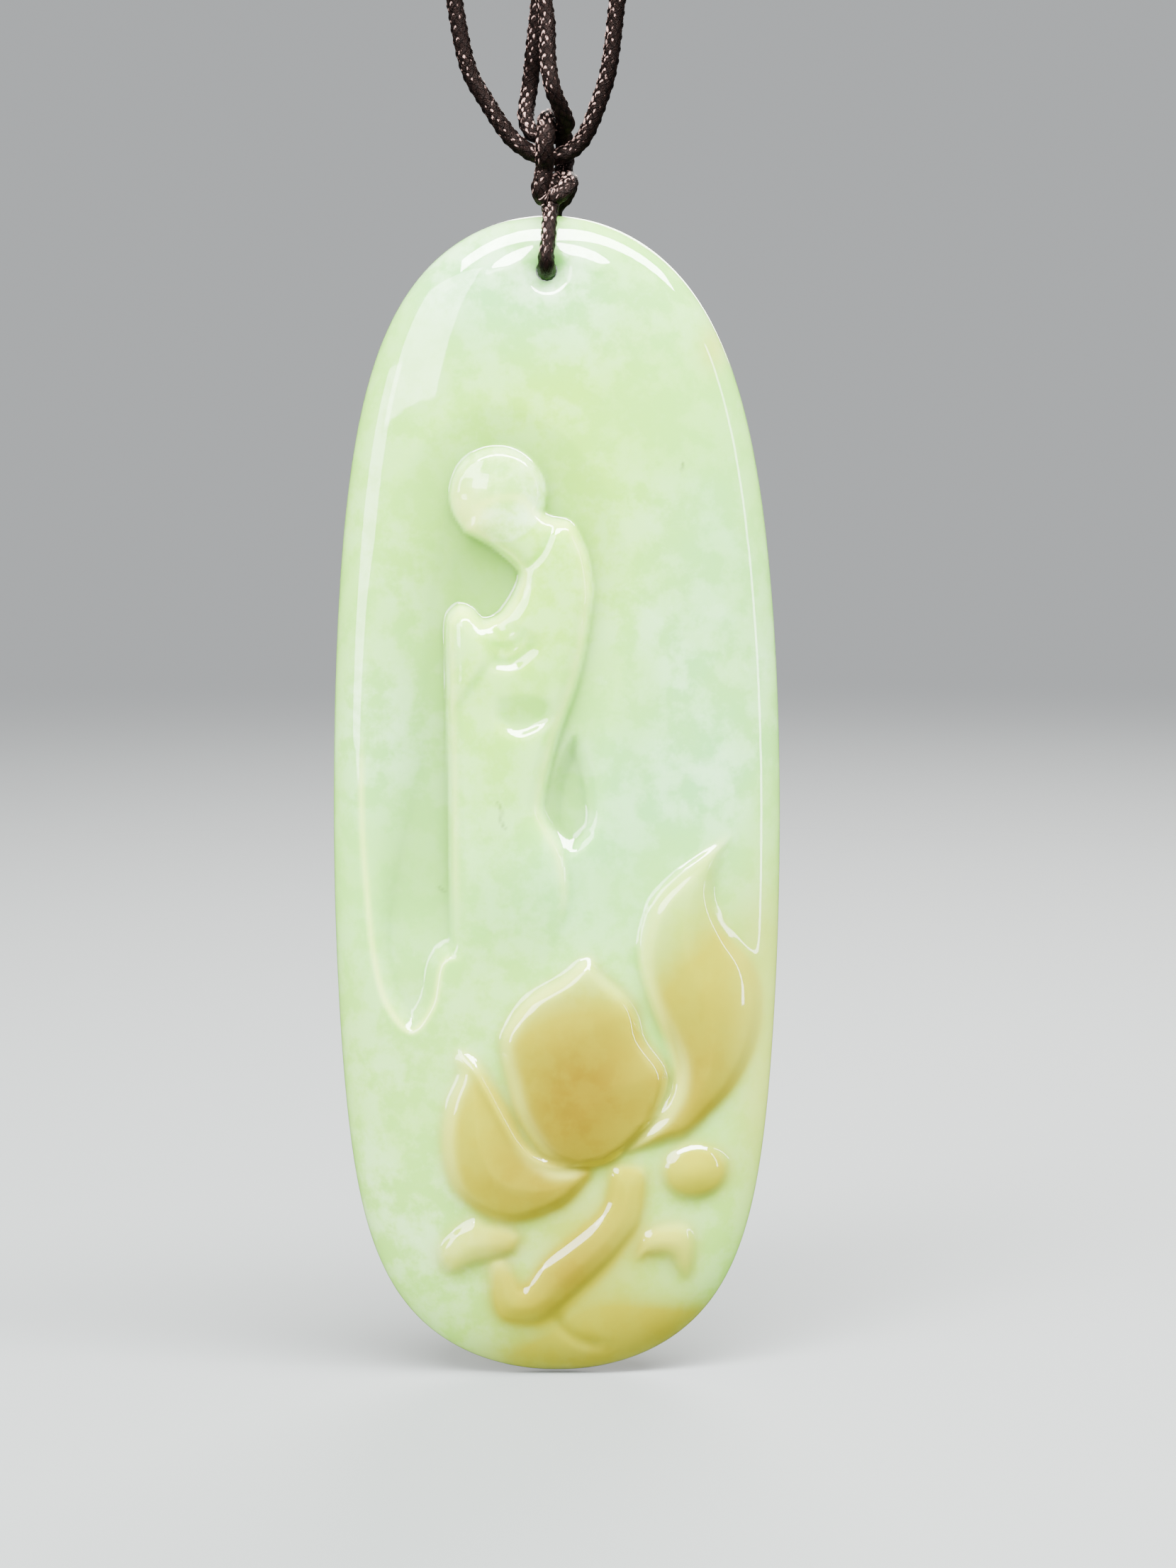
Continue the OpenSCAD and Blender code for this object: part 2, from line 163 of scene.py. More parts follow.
def make_plain(name: str, points: Array, faces: list | Array) -> bpy.types.Object:
    """Makes a smooth-shaded mesh object at the origin, with its place in its mesh.

    Args:
        name: Name of the object.
        points: Rows of right, back, up in millimetres from the centre of the hole.
        faces: Corners of each face, seen from outside anticlockwise.

    Returns:
        The new object.
    """
    mesh = bpy.data.meshes.new(name)
    place = (points - np.array([0.0, 0.0, HOLE_BELOW_NECK])) * MM
    mesh.from_pydata(place.tolist(), [], [list(face) for face in faces])
    mesh.validate()
    mesh.update()
    mesh.polygons.foreach_set("use_smooth", [True] * len(mesh.polygons))
    made = bpy.data.objects.new(name, mesh)
    bpy.context.scene.collection.objects.link(made)
    return made


def make_piece(name: str, points: Array, faces: list | Array, slot: Slot, body: Body) -> bpy.types.Object:
    """Makes a piece of the object and lets it ride on a body.

    Args:
        name: Name of the piece.
        points: Rows of right, back, up in millimetres from the centre of the hole.
        faces: Corners of each face, seen from outside anticlockwise.
        slot: The record's material slot; not used.
        body: The body that carries the piece.

    Returns:
        The new piece.
    """
    piece = make_plain(name, points, faces)
    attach(piece, body.value)
    log.info("%s: %d faces on %s", name, len(piece.data.polygons), body.value)
    return piece


def write_values(mesh: bpy.types.Mesh, name: str, values: Array) -> None:
    """Writes a number for each point of a mesh into a named attribute."""
    mesh.attributes.new(name, "FLOAT", "POINT").data.foreach_set("value", values.astype(np.float32))


def skin_faces(rows: int, cols: int) -> list[list[int]]:
    """Lists the faces of a closed skin: a first pole, rows of cols points each, and a last pole.

    Face j, i joins points i and i + 1 of row j to those of row j + 1, and a fan closes each end. Row points run
    so that the outside is seen anticlockwise.

    Args:
        rows: Number of rows between the poles.
        cols: Points in each row, a closed ring.

    Returns:
        Corner numbers of each face.
    """
    j, i = np.meshgrid(np.arange(rows - 1), np.arange(cols), indexing="ij")
    k = (i + 1) % cols
    quads = np.stack([1 + j * cols + i, 1 + j * cols + k, 1 + (j + 1) * cols + k, 1 + (j + 1) * cols + i], -1)
    ring = np.arange(cols)
    after = (ring + 1) % cols
    last = 1 + rows * cols
    foot = np.stack([np.zeros(cols, int), 1 + after, 1 + ring], -1)
    head = np.stack([np.full(cols, last), last - cols + ring, last - cols + after], -1)
    return quads.reshape(-1, 4).tolist() + foot.tolist() + head.tolist()


@dataclass(frozen=True)
class StoneForm:
    """Outline and dome of the stone, as in the CAD source, in millimetres from the centre of the hole."""

    width: float = 25.2
    height: float = 65.5
    hole_below_top: float = 3.05
    # Height of the widest place, as a share of the stone's.
    waist_share: float = 0.475
    # Fullness of the outline above and below the waist, and how far its middle line stands off and leans.
    top_full: tuple[float, float] = (0.28, 0.16)
    bottom_full: tuple[float, float] = (0.31, 0.31)
    off: float = 0.54
    lean: float = 0.42
    # Depths of the front and back domes, and the powers that flatten them across and upwards.
    front: float = 3.3
    back: float = 2.9
    across: float = 3.2
    up: float = 4.4

    @property
    def waist(self) -> float:
        """Level of the widest place."""
        return self.hole_below_top - self.height * (1 - self.waist_share)

    @property
    def foot(self) -> float:
        """Level of the lowest point."""
        return self.hole_below_top - self.height

    def reach(self, above: Array) -> Array:
        """Returns the height from the waist to the top where above is true, else from the waist to the foot."""
        return self.height * np.where(above, 1 - self.waist_share, self.waist_share)

    def level(self, t: Array) -> Array:
        """Returns the height of the share t, which is -1 at the foot, 0 at the waist and 1 at the top."""
        return self.waist + t * self.reach(t > 0)

    def share(self, z: Array) -> Array:
        """Returns the share t of the height z, the opposite of level."""
        return (z - self.waist) / self.reach(z > self.waist)

    def height_share(self, z: Array) -> Array:
        """Returns the height z as a share of the stone's height, from 0 at the foot to 1 at the top."""
        return (z - self.foot) / self.height

    def half_width(self, t: Array) -> Array:
        """Works out half the width: an ellipse made fuller by shares of t^2 and t^4.

        Args:
            t: Share of the height, -1 at the foot, 0 at the waist and 1 at the top.

        Returns:
            Half the width there.
        """
        s = np.minimum(t * t, 1.0)
        a = np.where(t > 0, self.top_full[0], self.bottom_full[0])
        b = np.where(t > 0, self.top_full[1], self.bottom_full[1])
        return self.width / 2 * np.sqrt(1 - s) * (1 + a * s + b * s * s)

    def middle(self, t: Array) -> Array:
        """Returns the middle line at t, which leans to the left above the waist."""
        return self.off - np.where(t > 0, self.lean * t * t, 0.0)

    def dome(self, u: Array, t: Array) -> Array:
        """Returns the dome's share of its height: sqrt(1 - |u|^across) times sqrt(1 - |t|^up)."""
        rim = np.sqrt(np.maximum(0, 1 - np.abs(u) ** self.across))
        return rim * np.sqrt(np.maximum(0, 1 - np.abs(t) ** self.up))

    def place(self, shares: Points) -> Array:
        """Turns shares of the width from the middle line and of the height from the foot into millimetres."""
        s = np.asarray(shares, float)
        return np.stack([self.off + s[:, 0] * self.width, self.foot + s[:, 1] * self.height], -1)


# Outlines of the carving. Columns: share of the width from the middle line, share of the height from the foot.
ROBE: Points = [
    (-0.086, 0.701), (-0.091, 0.685), (-0.112, 0.671), (-0.131, 0.663), (-0.161, 0.660),
    (-0.186, 0.669), (-0.215, 0.672), (-0.240, 0.663), (-0.246, 0.649), (-0.244, 0.615), (-0.243, 0.579),
    (-0.241, 0.535), (-0.240, 0.487), (-0.239, 0.440), (-0.237, 0.400), (-0.236, 0.374), (-0.222, 0.340),
    (-0.104, 0.335), (0.020, 0.400), (0.020, 0.457), (-0.025, 0.492), (-0.025, 0.509), (-0.012, 0.533),
    (0.007, 0.560), (0.039, 0.594), (0.064, 0.630), (0.078, 0.666), (0.082, 0.683), (0.075, 0.707),
    (0.061, 0.724), (0.034, 0.742), (-0.021, 0.748), (-0.080, 0.768), (-0.167, 0.762), (-0.207, 0.737),
    (-0.178, 0.728), (-0.135, 0.718),
]
GROUND: Points = [
    (-0.250, 0.823), (-0.345, 0.780), (-0.405, 0.700), (-0.430, 0.600), (-0.435, 0.494),
    (-0.424, 0.423), (-0.408, 0.367), (-0.380, 0.328), (-0.324, 0.305), (-0.273, 0.328),
    (-0.247, 0.367), (-0.170, 0.372), (-0.025, 0.440), (0.039, 0.460), (0.092, 0.497),
    (0.110, 0.549), (0.150, 0.630), (0.165, 0.713), (0.110, 0.775), (0.000, 0.823), (-0.130, 0.842),
]
SCOOP: Points = [
    (-0.025, 0.492), (-0.021, 0.509), (-0.004, 0.533), (0.023, 0.555), (0.047, 0.561),
    (0.078, 0.533), (0.094, 0.497), (0.083, 0.475), (0.039, 0.460), (0.000, 0.469), (-0.021, 0.481),
]
RIGHT_PETAL: Points = [
    (0.381, 0.472), (0.330, 0.462), (0.284, 0.447), (0.220, 0.423), (0.194, 0.400), (0.183, 0.373),
    (0.194, 0.346), (0.220, 0.318), (0.250, 0.295), (0.264, 0.275), (0.259, 0.256), (0.234, 0.238),
    (0.189, 0.219), (0.150, 0.200), (0.245, 0.209), (0.296, 0.215), (0.345, 0.233), (0.391, 0.252),
    (0.426, 0.275), (0.446, 0.295), (0.457, 0.318), (0.454, 0.341), (0.432, 0.365), (0.385, 0.391),
    (0.352, 0.421), (0.362, 0.450),
]
CENTRE_PETAL: Points = [
    (0.071, 0.373), (0.009, 0.356), (-0.067, 0.338), (-0.115, 0.314), (-0.129, 0.295),
    (-0.112, 0.263), (-0.088, 0.232), (-0.032, 0.200), (0.030, 0.188), (0.110, 0.190),
    (0.185, 0.212), (0.229, 0.237), (0.250, 0.271), (0.197, 0.303), (0.180, 0.332), (0.118, 0.356),
]
LEFT_PETAL: Points = [
    (-0.212, 0.290), (-0.229, 0.282), (-0.223, 0.269), (-0.246, 0.247), (-0.259, 0.216),
    (-0.250, 0.184), (-0.218, 0.160), (-0.156, 0.144), (-0.094, 0.139), (-0.020, 0.147),
    (0.036, 0.160), (0.080, 0.186), (0.001, 0.191), (-0.040, 0.199), (-0.074, 0.213),
    (-0.102, 0.237), (-0.135, 0.263), (-0.170, 0.282),
]
STEM: Points = [
    (0.124, 0.188), (0.112, 0.158), (0.078, 0.138), (0.023, 0.120), (-0.032, 0.103),
    (-0.075, 0.081), (-0.091, 0.090), (-0.116, 0.106), (-0.151, 0.104), (-0.154, 0.084),
    (-0.143, 0.060), (-0.112, 0.049), (-0.032, 0.051), (0.036, 0.073), (0.118, 0.104),
    (0.166, 0.127), (0.188, 0.142), (0.200, 0.168), (0.197, 0.188),
]
LEFT_LEAF: Points = [
    (-0.183, 0.144), (-0.229, 0.134), (-0.262, 0.119), (-0.269, 0.106), (-0.250, 0.094),
    (-0.223, 0.093), (-0.183, 0.101), (-0.153, 0.104), (-0.116, 0.109), (-0.090, 0.114),
    (-0.083, 0.129), (-0.123, 0.137), (-0.156, 0.139),
]
RIGHT_LEAF: Points = [
    (0.191, 0.129), (0.231, 0.137), (0.284, 0.138), (0.308, 0.129), (0.312, 0.111),
    (0.296, 0.086), (0.272, 0.096), (0.251, 0.108), (0.205, 0.109), (0.178, 0.106),
]
# Finer cuts that the CAD source leaves out. Columns: millimetres right and up of the hole.
SLEEVE: Points = [
    (-5.75, -19.4), (-5.2, -18.9), (-4.5, -18.7), (-3.8, -19.0), (-3.35, -19.9), (-3.2, -21.2), (-3.35, -22.0),
    (-4.2, -23.2), (-5.2, -24.5), (-5.75, -25.1),
]
POCKET: Points = [
    (-3.2, -19.6), (-3.2, -21.0), (-3.15, -21.9), (-2.5, -22.15), (-1.75, -22.1), (-1.0, -21.6), (-0.35, -20.9),
    (-0.5, -20.0), (-1.4, -19.4), (-2.4, -19.2),
]
BOWL: Points = [
    (-3.0, -24.2), (-2.86, -25.0), (-2.2, -25.66), (-1.37, -25.85), (-0.37, -25.45), (0.46, -24.75), (0.3, -23.6),
    (-1.3, -23.1), (-2.8, -23.4),
]
UPPER_FOLD: Points = [(-3.25, -19.8), (-2.9, -20.25), (-2.35, -20.4), (-1.8, -20.2), (-1.45, -19.8)]
LOWER_FOLD: Points = [(-2.9, -21.0), (-2.3, -21.3), (-1.6, -21.0), (-1.1, -20.4), (-0.9, -19.8)]
NAPE_CREASE: Points = [(0.35, -13.6), (0.15, -14.6), (-0.25, -15.5), (-0.9, -16.2), (-1.5, -16.5)]
LEFT_LIP: Points = [
    (-4.9, -43.5), (-4.3, -43.9), (-3.7, -44.9), (-3.0, -46.2), (-2.3, -47.5), (-1.6, -48.7), (-0.6, -49.6),
    (0.7, -50.0), (1.9, -49.8),
]
RIGHT_LIP: Points = [
    (10.2, -31.5), (8.8, -32.5), (7.3, -33.6), (6.0, -35.0), (5.4, -36.6), (5.3, -38.2), (5.8, -40.0), (6.6, -42.3),
    (7.2, -44.4), (7.3, -45.6), (6.7, -46.8), (5.4, -47.5),
]
FLAME_LINE: Points = [(9.2, -34.9), (9.9, -36.2), (10.7, -37.6), (11.6, -38.9)]
CENTRE_TIP_LINE: Points = [(2.3, -38.3), (3.2, -39.2), (4.4, -40.3), (5.3, -41.8)]
FOOT_LINE: Points = [(0.5, -58.6), (0.9, -59.6), (1.9, -60.4), (3.3, -60.8)]

# Ridges along a line, or cuts where the height is negative. Columns: the line, height over the face, half width.
Ridge = tuple[Points, float, float]
SLEEVE_FOLDS: tuple[Ridge, ...] = ((UPPER_FOLD, 0.12, 0.17), (LOWER_FOLD, 0.12, 0.17))
NAPE_CUT: tuple[Ridge, ...] = ((NAPE_CREASE, -0.2, 0.2),)
LOTUS_LIPS: tuple[Ridge, ...] = (
    (LEFT_LIP, 0.26, 0.22), (RIGHT_LIP, 0.26, 0.22), (FLAME_LINE, 0.1, 0.26), (CENTRE_TIP_LINE, -0.2, 0.24),
    (FOOT_LINE, -0.16, 0.35),
)
# Fine dark cracks in the stone.
CRACKS: tuple[Points, ...] = (
    [(-2.72, -29.4), (-2.5, -29.9), (-2.55, -30.4), (-2.3, -30.9)],
    [(-6.1, -34.3), (-5.85, -34.5), (-5.75, -34.55)],
    [(7.55, -10.6), (7.5, -11.0)],
)
# Soft patches of colour. Columns: share, millimetres right and up of the hole, half width, half height.
Patch = tuple[float, float, float, float, float]
PATCHES: dict[str, tuple[Patch, ...]] = {
    "heart": ((1.05, 2.0, -45.9, 4.1, 5.0), (0.55, 8.6, -44.8, 2.7, 4.6), (0.5, -1.6, -50.9, 4.0, 2.6)),
    "stem_heart": ((0.8, 1.2, -55.5, 4.0, 4.0),),
    # The foot's own golden colour, laid lighter as a painted glow of light through the stone.
    "rim": ((1.0, 7.0, -60.4, 4.8, 1.8), (0.9, 2.0, -61.8, 4.8, 1.2)),
    "gold": ((1.0, 1.8, -45.5, 4.2, 5.0), (0.95, 9.3, -43.0, 3.6, 6.0), (0.9, -3.4, -49.8, 4.5, 4.6)),
    "leaf": ((0.3, -4.6, -54.7, 3.0, 2.2), (0.3, 7.0, -54.7, 2.5, 2.2)),
    # The first row, at the right edge, is the stone's own yellow, made lighter as a painted glow.
    "lemon": (
        (0.7, 13.2, -45.0, 2.4, 9.5), (0.35, 11.5, -37.0, 3.0, 3.0), (0.56, 9.3, -4.2, 0.85, 1.3),
        (0.5, 3.0, -60.3, 7.0, 2.8), (0.65, 2.4, -54.8, 4.2, 4.6),
    ),
    "lime": ((0.95, 2.0, -8.0, 6.5, 6.5), (0.95, 4.0, -15.0, 6.5, 7.0), (0.5, -6.0, -16.0, 5.0, 8.0)),
    "lime_robe": ((0.7, -2.5, -24.0, 5.0, 11.0),),
    "mint": (
        (0.9, 9.5, -17.0, 3.8, 9.0), (0.8, 7.5, -28.0, 6.0, 6.0), (0.55, -8.5, -31.0, 3.2, 9.0),
        (0.5, 1.5, -34.0, 6.0, 3.5), (0.8, -1.5, -0.5, 10.0, 4.0),
    ),
    # The last row whitens the stone round the hole, painted light against the shade round the cord.
    "milk": (
        (0.5, 9.0, -23.0, 4.5, 8.5), (0.4, -8.8, -24.0, 2.6, 7.0), (0.35, -8.0, -52.0, 6.0, 8.0),
        (0.8, 9.5, -18.8, 0.35, 0.3), (0.7, 3.1, -22.7, 0.3, 0.3), (0.5, -5.0, 1.0, 5.0, 3.0),
        (0.5, 6.0, -1.5, 5.0, 3.0), (0.7, 0.2, 0.2, 2.6, 2.0),
    ),
    # Painted glow at the right edge, and a pale patch at the upper right.
    "bright": ((0.5, 13.2, -45.0, 2.0, 10.0), (0.3, 9.3, -4.2, 0.85, 1.3)),
    # Painted glow in the head's lower left.
    "head_low_glow": ((0.9, -4.7, -13.3, 1.5, 1.7),),
    # Painted shade in the hollow before the figure's chest.
    "chest_shade": ((0.9, -3.2, -16.6, 2.2, 2.6),),
}


@dataclass(frozen=True)
class Pillow:
    """A raised form: a straight slope at its border, and a slow swell further in."""

    rise: float
    slope: float
    swell: float = 0.0
    reach: float = 1.0
    start: float = 0.0

    def over(self, d: Array) -> Array:
        """Returns rise times the bevel of the distance d inside, plus swell times a soft step of d."""
        return self.rise * bevel(d, self.slope) + self.swell * smooth((d - self.start) / self.reach)


@dataclass(frozen=True)
class Ramp:
    """A limit across which something grows from 0 at its start to 1 at its end."""

    start: float
    end: float

    def straight(self, v: Array) -> Array:
        """Returns the straight rise of v from start to end, held between 0 and 1."""
        return clamp((v - self.start) / (self.end - self.start))

    def soft(self, v: Array) -> Array:
        """Returns the soft step of v from start to end."""
        return smooth((v - self.start) / (self.end - self.start))


@dataclass(frozen=True)
class Edge:
    """A soft thin line along an outline: how far inside the outline it runs, and its half width."""

    at: float
    half: float

    def along(self, d: Array) -> Array:
        """Returns the line's share at the distance d inside the outline."""
        return bell(d - self.at, self.half)


@dataclass(frozen=True)
class TintShares:
    """How strongly the forms of the carving take each colour, from 0 to about 1."""

    # The rim at the foot takes its own golden colour, laid lighter as a painted glow.
    rim_amber: float = 0.5
    petal_lemon: float = 0.35
    stem_lemon: float = 0.95
    rim_lemon: float = 1.2
    foot_lemon: float = 0.16
    whole_milk: float = 0.33
    # The head is painted lighter as a glow, partly in its own milky colour.
    head_milk_and_glow: float = 0.75
    head_glow: float = 0.12
    # Painted highlights: thin bright lines along the robe, the ground's lip and the petals.
    robe_highlight_share: float = 0.5
    lip_highlight_share: float = 0.7
    petal_highlight_share: float = 0.45
    leaf_bright: float = 0.8
    crack_dark: float = 0.8
    # Painted shade in the lowered ground.
    sunk_shade: float = 0.6


@dataclass
class Raster:
    """An even raster over the carved face, in millimetres right and up of the hole.

    It holds the coordinates x and z of its points, and works out distances, ridges and patches at all of them.
    """

    step: float = 0.07
    left: float = -13.4
    right: float = 14.4
    low: float = -63.6
    high: float = 4.2
    # How far distances are worked out.
    reach: float = 3.6
    # What is left of a ridge at its ends, and the share of its span that it fades over.
    ridge_least: float = 0.25
    ridge_fade: float = 0.18

    def __post_init__(self) -> None:
        """Lays the raster out."""
        across, up = np.arange(self.left, self.right, self.step), np.arange(self.low, self.high, self.step)
        self.x, self.z = np.meshgrid(across, up)

    def window(self, line: Array) -> tuple[slice, slice]:
        """Finds the part of the raster within reach of a line.

        Args:
            line: Points of the line, right and up.

        Returns:
            Its rows and its columns.
        """
        ends = np.stack([line.min(0) - self.reach, line.max(0) + self.reach])
        count = (ends - (self.left, self.low)) / self.step
        cols, rows = np.clip(count, 0, self.x.shape[::-1]).astype(int).T
        return slice(*rows), slice(*cols)

    def distance(self, line: Array) -> Array:
        """Works out the distance to a line, the least over its straight pieces.

        Args:
            line: Points of the line, right and up.

        Returns:
            The distance on the raster, held at the reach.
        """
        rows, cols = self.window(line)
        x, z = self.x[rows, cols], self.z[rows, cols]
        least = np.full(x.shape, self.reach**2)
        for a, b in zip(line[:-1], line[1:]):
            along = b - a
            s = clamp(((x - a[0]) * along[0] + (z - a[1]) * along[1]) / max(along @ along, 1e-9))
            least = np.minimum(least, (x - a[0] - s * along[0]) ** 2 + (z - a[1] - s * along[1]) ** 2)
        out = np.full(self.x.shape, self.reach)
        out[rows, cols] = np.sqrt(least)
        return out

    def inside(self, points: Points | Array) -> Array:
        """Returns the distance inside a smoothed outline, negative outside it.

        A point is inside where a level ray to its right crosses the outline an odd number of times.

        Args:
            points: Millimetres right and up of the hole.

        Returns:
            The signed distance on the raster.
        """
        line = spline(points, SPANS, closed=True)
        rows, cols = self.window(line)
        x, z = self.x[rows, cols], self.z[rows, cols]
        odd = np.zeros(x.shape, bool)
        for a, b in zip(line[:-1], line[1:]):
            if a[1] != b[1]:
                across = (a[1] > z) != (b[1] > z)
                odd ^= across & (x < (b[0] - a[0]) * (z - a[1]) / (b[1] - a[1]) + a[0])
        out = -self.distance(line)
        out[rows, cols] *= np.where(odd, -1.0, 1.0)
        return out

    def ridge(self, points: Points, half: float) -> Array:
        """Works out a soft ridge along an open line, which fades towards the line's ends.

        Args:
            points: Millimetres right and up of the hole.
            half: Half width of the ridge.

        Returns:
            Its share on the raster, from 0 to 1.
        """
        line = spline(points, SPANS)
        near = bell(self.distance(line), half)
        span = np.linalg.norm(line[-1] - line[0])
        ends = np.minimum(self.away(*line[0]), self.away(*line[-1]))
        return near * (self.ridge_least + (1 - self.ridge_least) * smooth(ends / (self.ridge_fade * span)))

    def ridges(self, rows: tuple[Ridge, ...]) -> Array:
        """Returns the sum of the ridges of a table."""
        return sum(height * self.ridge(line, half) for line, height, half in rows)

    def away(self, x: float, z: float, wide: float = 1.0, high: float = 1.0) -> Array:
        """Returns the distance from a place, counted in parts of wide across and of high upwards."""
        return np.hypot((self.x - x) / wide, (self.z - z) / high)

    def blob(self, x: float, z: float, wide: float, high: float) -> Array:
        """Returns a soft round patch, exp(-(dx/wide)^2 - (dz/high)^2)."""
        return np.exp(-(((self.x - x) / wide) ** 2) - ((self.z - z) / high) ** 2)

    def patches(self, rows: tuple[Patch, ...]) -> Array:
        """Returns the sum of the soft patches of a table."""
        return sum(share * self.blob(*where) for share, *where in rows)

    def blurred(self, layer: Array, spread: float) -> Array:
        """Softens a layer by a bell-shaped mean, up and then across.

        Args:
            layer: A value for each raster point.
            spread: Spread of the bell in millimetres.

        Returns:
            The softened layer.
        """
        reach = max(1, int(round(3 * spread / self.step)))
        weights = np.exp(-0.5 * (np.arange(-reach, reach + 1) * self.step / spread) ** 2)
        weights /= weights.sum()
        for axis in (0, 1):
            padded = np.pad(layer, [(reach, reach) if a == axis else (0, 0) for a in (0, 1)], mode="edge")
            n = layer.shape[axis]
            layer = sum(w * np.take(padded, np.arange(k, k + n), axis=axis) for k, w in enumerate(weights))
        return layer

    def read(self, grid: Array, x: Array, z: Array) -> Array:
        """Reads a layer between its raster points, by the weights of the four that surround each place.

        Args:
            grid: The layer, a value for each raster point.
            x: Millimetres to the right of the hole.
            z: Millimetres over the hole.

        Returns:
            The layer's values there.
        """
        c = np.clip((x - self.left) / self.step, 0, grid.shape[1] - 1.001)
        r = np.clip((z - self.low) / self.step, 0, grid.shape[0] - 1.001)
        ci, ri = c.astype(int), r.astype(int)
        cf, rf = c - ci, r - ri
        low = grid[ri, ci] * (1 - cf) + grid[ri, ci + 1] * cf
        high = grid[ri + 1, ci] * (1 - cf) + grid[ri + 1, ci + 1] * cf
        return low * (1 - rf) + high * rf


@dataclass(frozen=True)
class Hole:
    """The drilled hole with its bowl, and the low brow over it, in millimetres from its centre."""

    bore_r: float = 0.6
    sink_r: float = 1.4
    sink_depth: float = 0.34
    brow_at: tuple[float, float] = (0.45, -1.1)
    brow_half: tuple[float, float] = (3.24, 1.95)
    brow_rise: float = 0.143
    brow_flank: float = 0.55
    brow_feet: Ramp = Ramp(-0.5, 0.2)

    def heights(self, raster: Raster) -> Array:
        """Works out the brow, an elliptic arch with straight flanks and fading feet, less the bowl's straight slope.

        Args:
            raster: The raster of the face.

        Returns:
            Heights over the face, in millimetres.
        """
        arch = (raster.away(*self.brow_at, *self.brow_half) - 1) * self.brow_half[1]
        brow = self.brow_rise * (1 - bevel(np.abs(arch), self.brow_flank)) * self.brow_feet.soft(raster.z)
        return brow - self.sink_depth * bevel(self.sink_r - raster.away(0.0, 0.0), self.sink_r - self.bore_r)


@dataclass
class Figure:
    """The bowed figure in its lowered ground. It keeps how far inside its forms each point of the raster is."""

    form: StoneForm
    raster: Raster
    # Shares of the stone's height that the figure lies between.
    low: float = 0.3
    high: float = 0.87
    # The ground's slope is short at the lower left, and long above a share of the height and at the right.
    ground_depth: float = 0.7
    short_slope: float = 0.9
    long_slope: float = 3.5
    long_above: Ramp = Ramp(0.36, 0.56)
    long_right: Ramp = Ramp(-3.5, -0.5)
    scoop: Pillow = Pillow(0.5, 0.75)
    # The thin lip along the ground's lower left edge.
    lip_rise: float = 0.07
    lip_half: float = 0.18
    lip_out: float = 0.1
    lip_below: Ramp = Ramp(-25.0, -29.0)
    lip_left: Ramp = Ramp(-4.6, -6.1)
    # The robe, which comes out of the face above a share of the height, and the bowls of its sleeve.
    robe_above: Ramp = Ramp(0.35, 0.45)
    robe_rise: float = 0.25
    robe_round: float = 0.3
    robe_reach: float = 3.2
    robe_steep: float = 0.65
    robe_bevels: tuple[float, float] = (0.35, 0.95)
    sleeve: Pillow = Pillow(0.3, 0.45)
    pocket: Pillow = Pillow(0.34, 0.5)
    pocket_least: float = 0.3
    pocket_below: Ramp = Ramp(-19.4, -21.6)
    bowl: Pillow = Pillow(0.42, 0.55)
    bowl_below: Ramp = Ramp(-23.3, -25.0)
    # The head: its place in shares, and its radius as a share of the width.
    head_at: tuple[float, float] = (-0.129, 0.765)
    head_share: float = 0.107
    head: Pillow = Pillow(0.4, 0.4)
    head_ball: float = 0.9
    head_blend: float = 0.3

    def __post_init__(self) -> None:
        """Works out how far inside the ground, the robe and the head each point is, and where the lip runs."""
        place, raster = self.form.place, self.raster
        self.ground_in, self.robe_in = raster.inside(place(GROUND)), raster.inside(place(ROBE))
        self.head_r = self.head_share * self.form.width
        self.head_in = self.head_r - raster.away(*place([self.head_at])[0])
        self.lip = self.lip_below.soft(raster.z) * self.lip_left.soft(raster.x)

    def ground(self, share: Array) -> Array:
        """Works out the lowered ground, which sinks along a slope inside its outline, with its scoop and its lip.

        Args:
            share: Share of the stone's height.

        Returns:
            Heights over the face, in millimetres.
        """
        wide = np.maximum(self.long_above.soft(share), self.long_right.soft(self.raster.x))
        slope = self.short_slope + (self.long_slope - self.short_slope) * wide
        scoop = self.scoop.over(self.raster.inside(self.form.place(SCOOP)))
        lip = self.lip_rise * bell(self.ground_in + self.lip_out, self.lip_half) * self.lip
        return lip - self.ground_depth * bevel(self.ground_in, slope) - scoop

    def robe(self, share: Array) -> Array:
        """Returns the robe's crown, with the sleeve, its bowls and its folds, before it is joined to the ground.

        A bowl deepens downwards and ends in a bevel that looks up.

        Args:
            share: Share of the stone's height.

        Returns:
            Heights over the face, in millimetres.
        """
        inside, z = self.raster.inside, self.raster.z
        crown = self.robe_rise + self.robe_round * quarter(self.robe_in, self.robe_reach)
        sunk = self.pocket_least + (1 - self.pocket_least) * self.pocket_below.straight(z)
        pocket = self.pocket.over(inside(POCKET)) * sunk
        bowl = self.bowl.over(inside(BOWL)) * self.bowl_below.straight(z)
        folds = self.raster.ridges(SLEEVE_FOLDS)
        return crown * self.robe_above.soft(share) + self.sleeve.over(inside(SLEEVE)) - pocket - bowl + folds

    def heights(self) -> Array:
        """Works out the whole figure.

        The robe rises from the ground over a steep bevel and a gentler one. The head is a flattened ball, 1 - d^2,
        with a bevel round it, and a crease parts it from the robe at the nape.

        Returns:
            Heights over the face, in millimetres.
        """
        share = self.form.height_share(self.raster.z)
        low, crease = self.ground(share), self.raster.ridges(NAPE_CUT)
        steep, gentle = (bevel(self.robe_in, wide) for wide in self.robe_bevels)
        edge = self.robe_steep * steep + (1 - self.robe_steep) * gentle
        robe = low + (self.robe(share) + crease - low) * edge
        ball = self.head_ball * (1 - (1 - clamp(self.head_in / self.head_r)) ** 2)
        head = higher(low + self.head.over(self.head_in) + ball + crease, robe, self.head_blend)
        whole = np.where(self.head_in > 0, head, robe)
        return np.where((share > self.low) & (share < self.high), whole, 0.0)


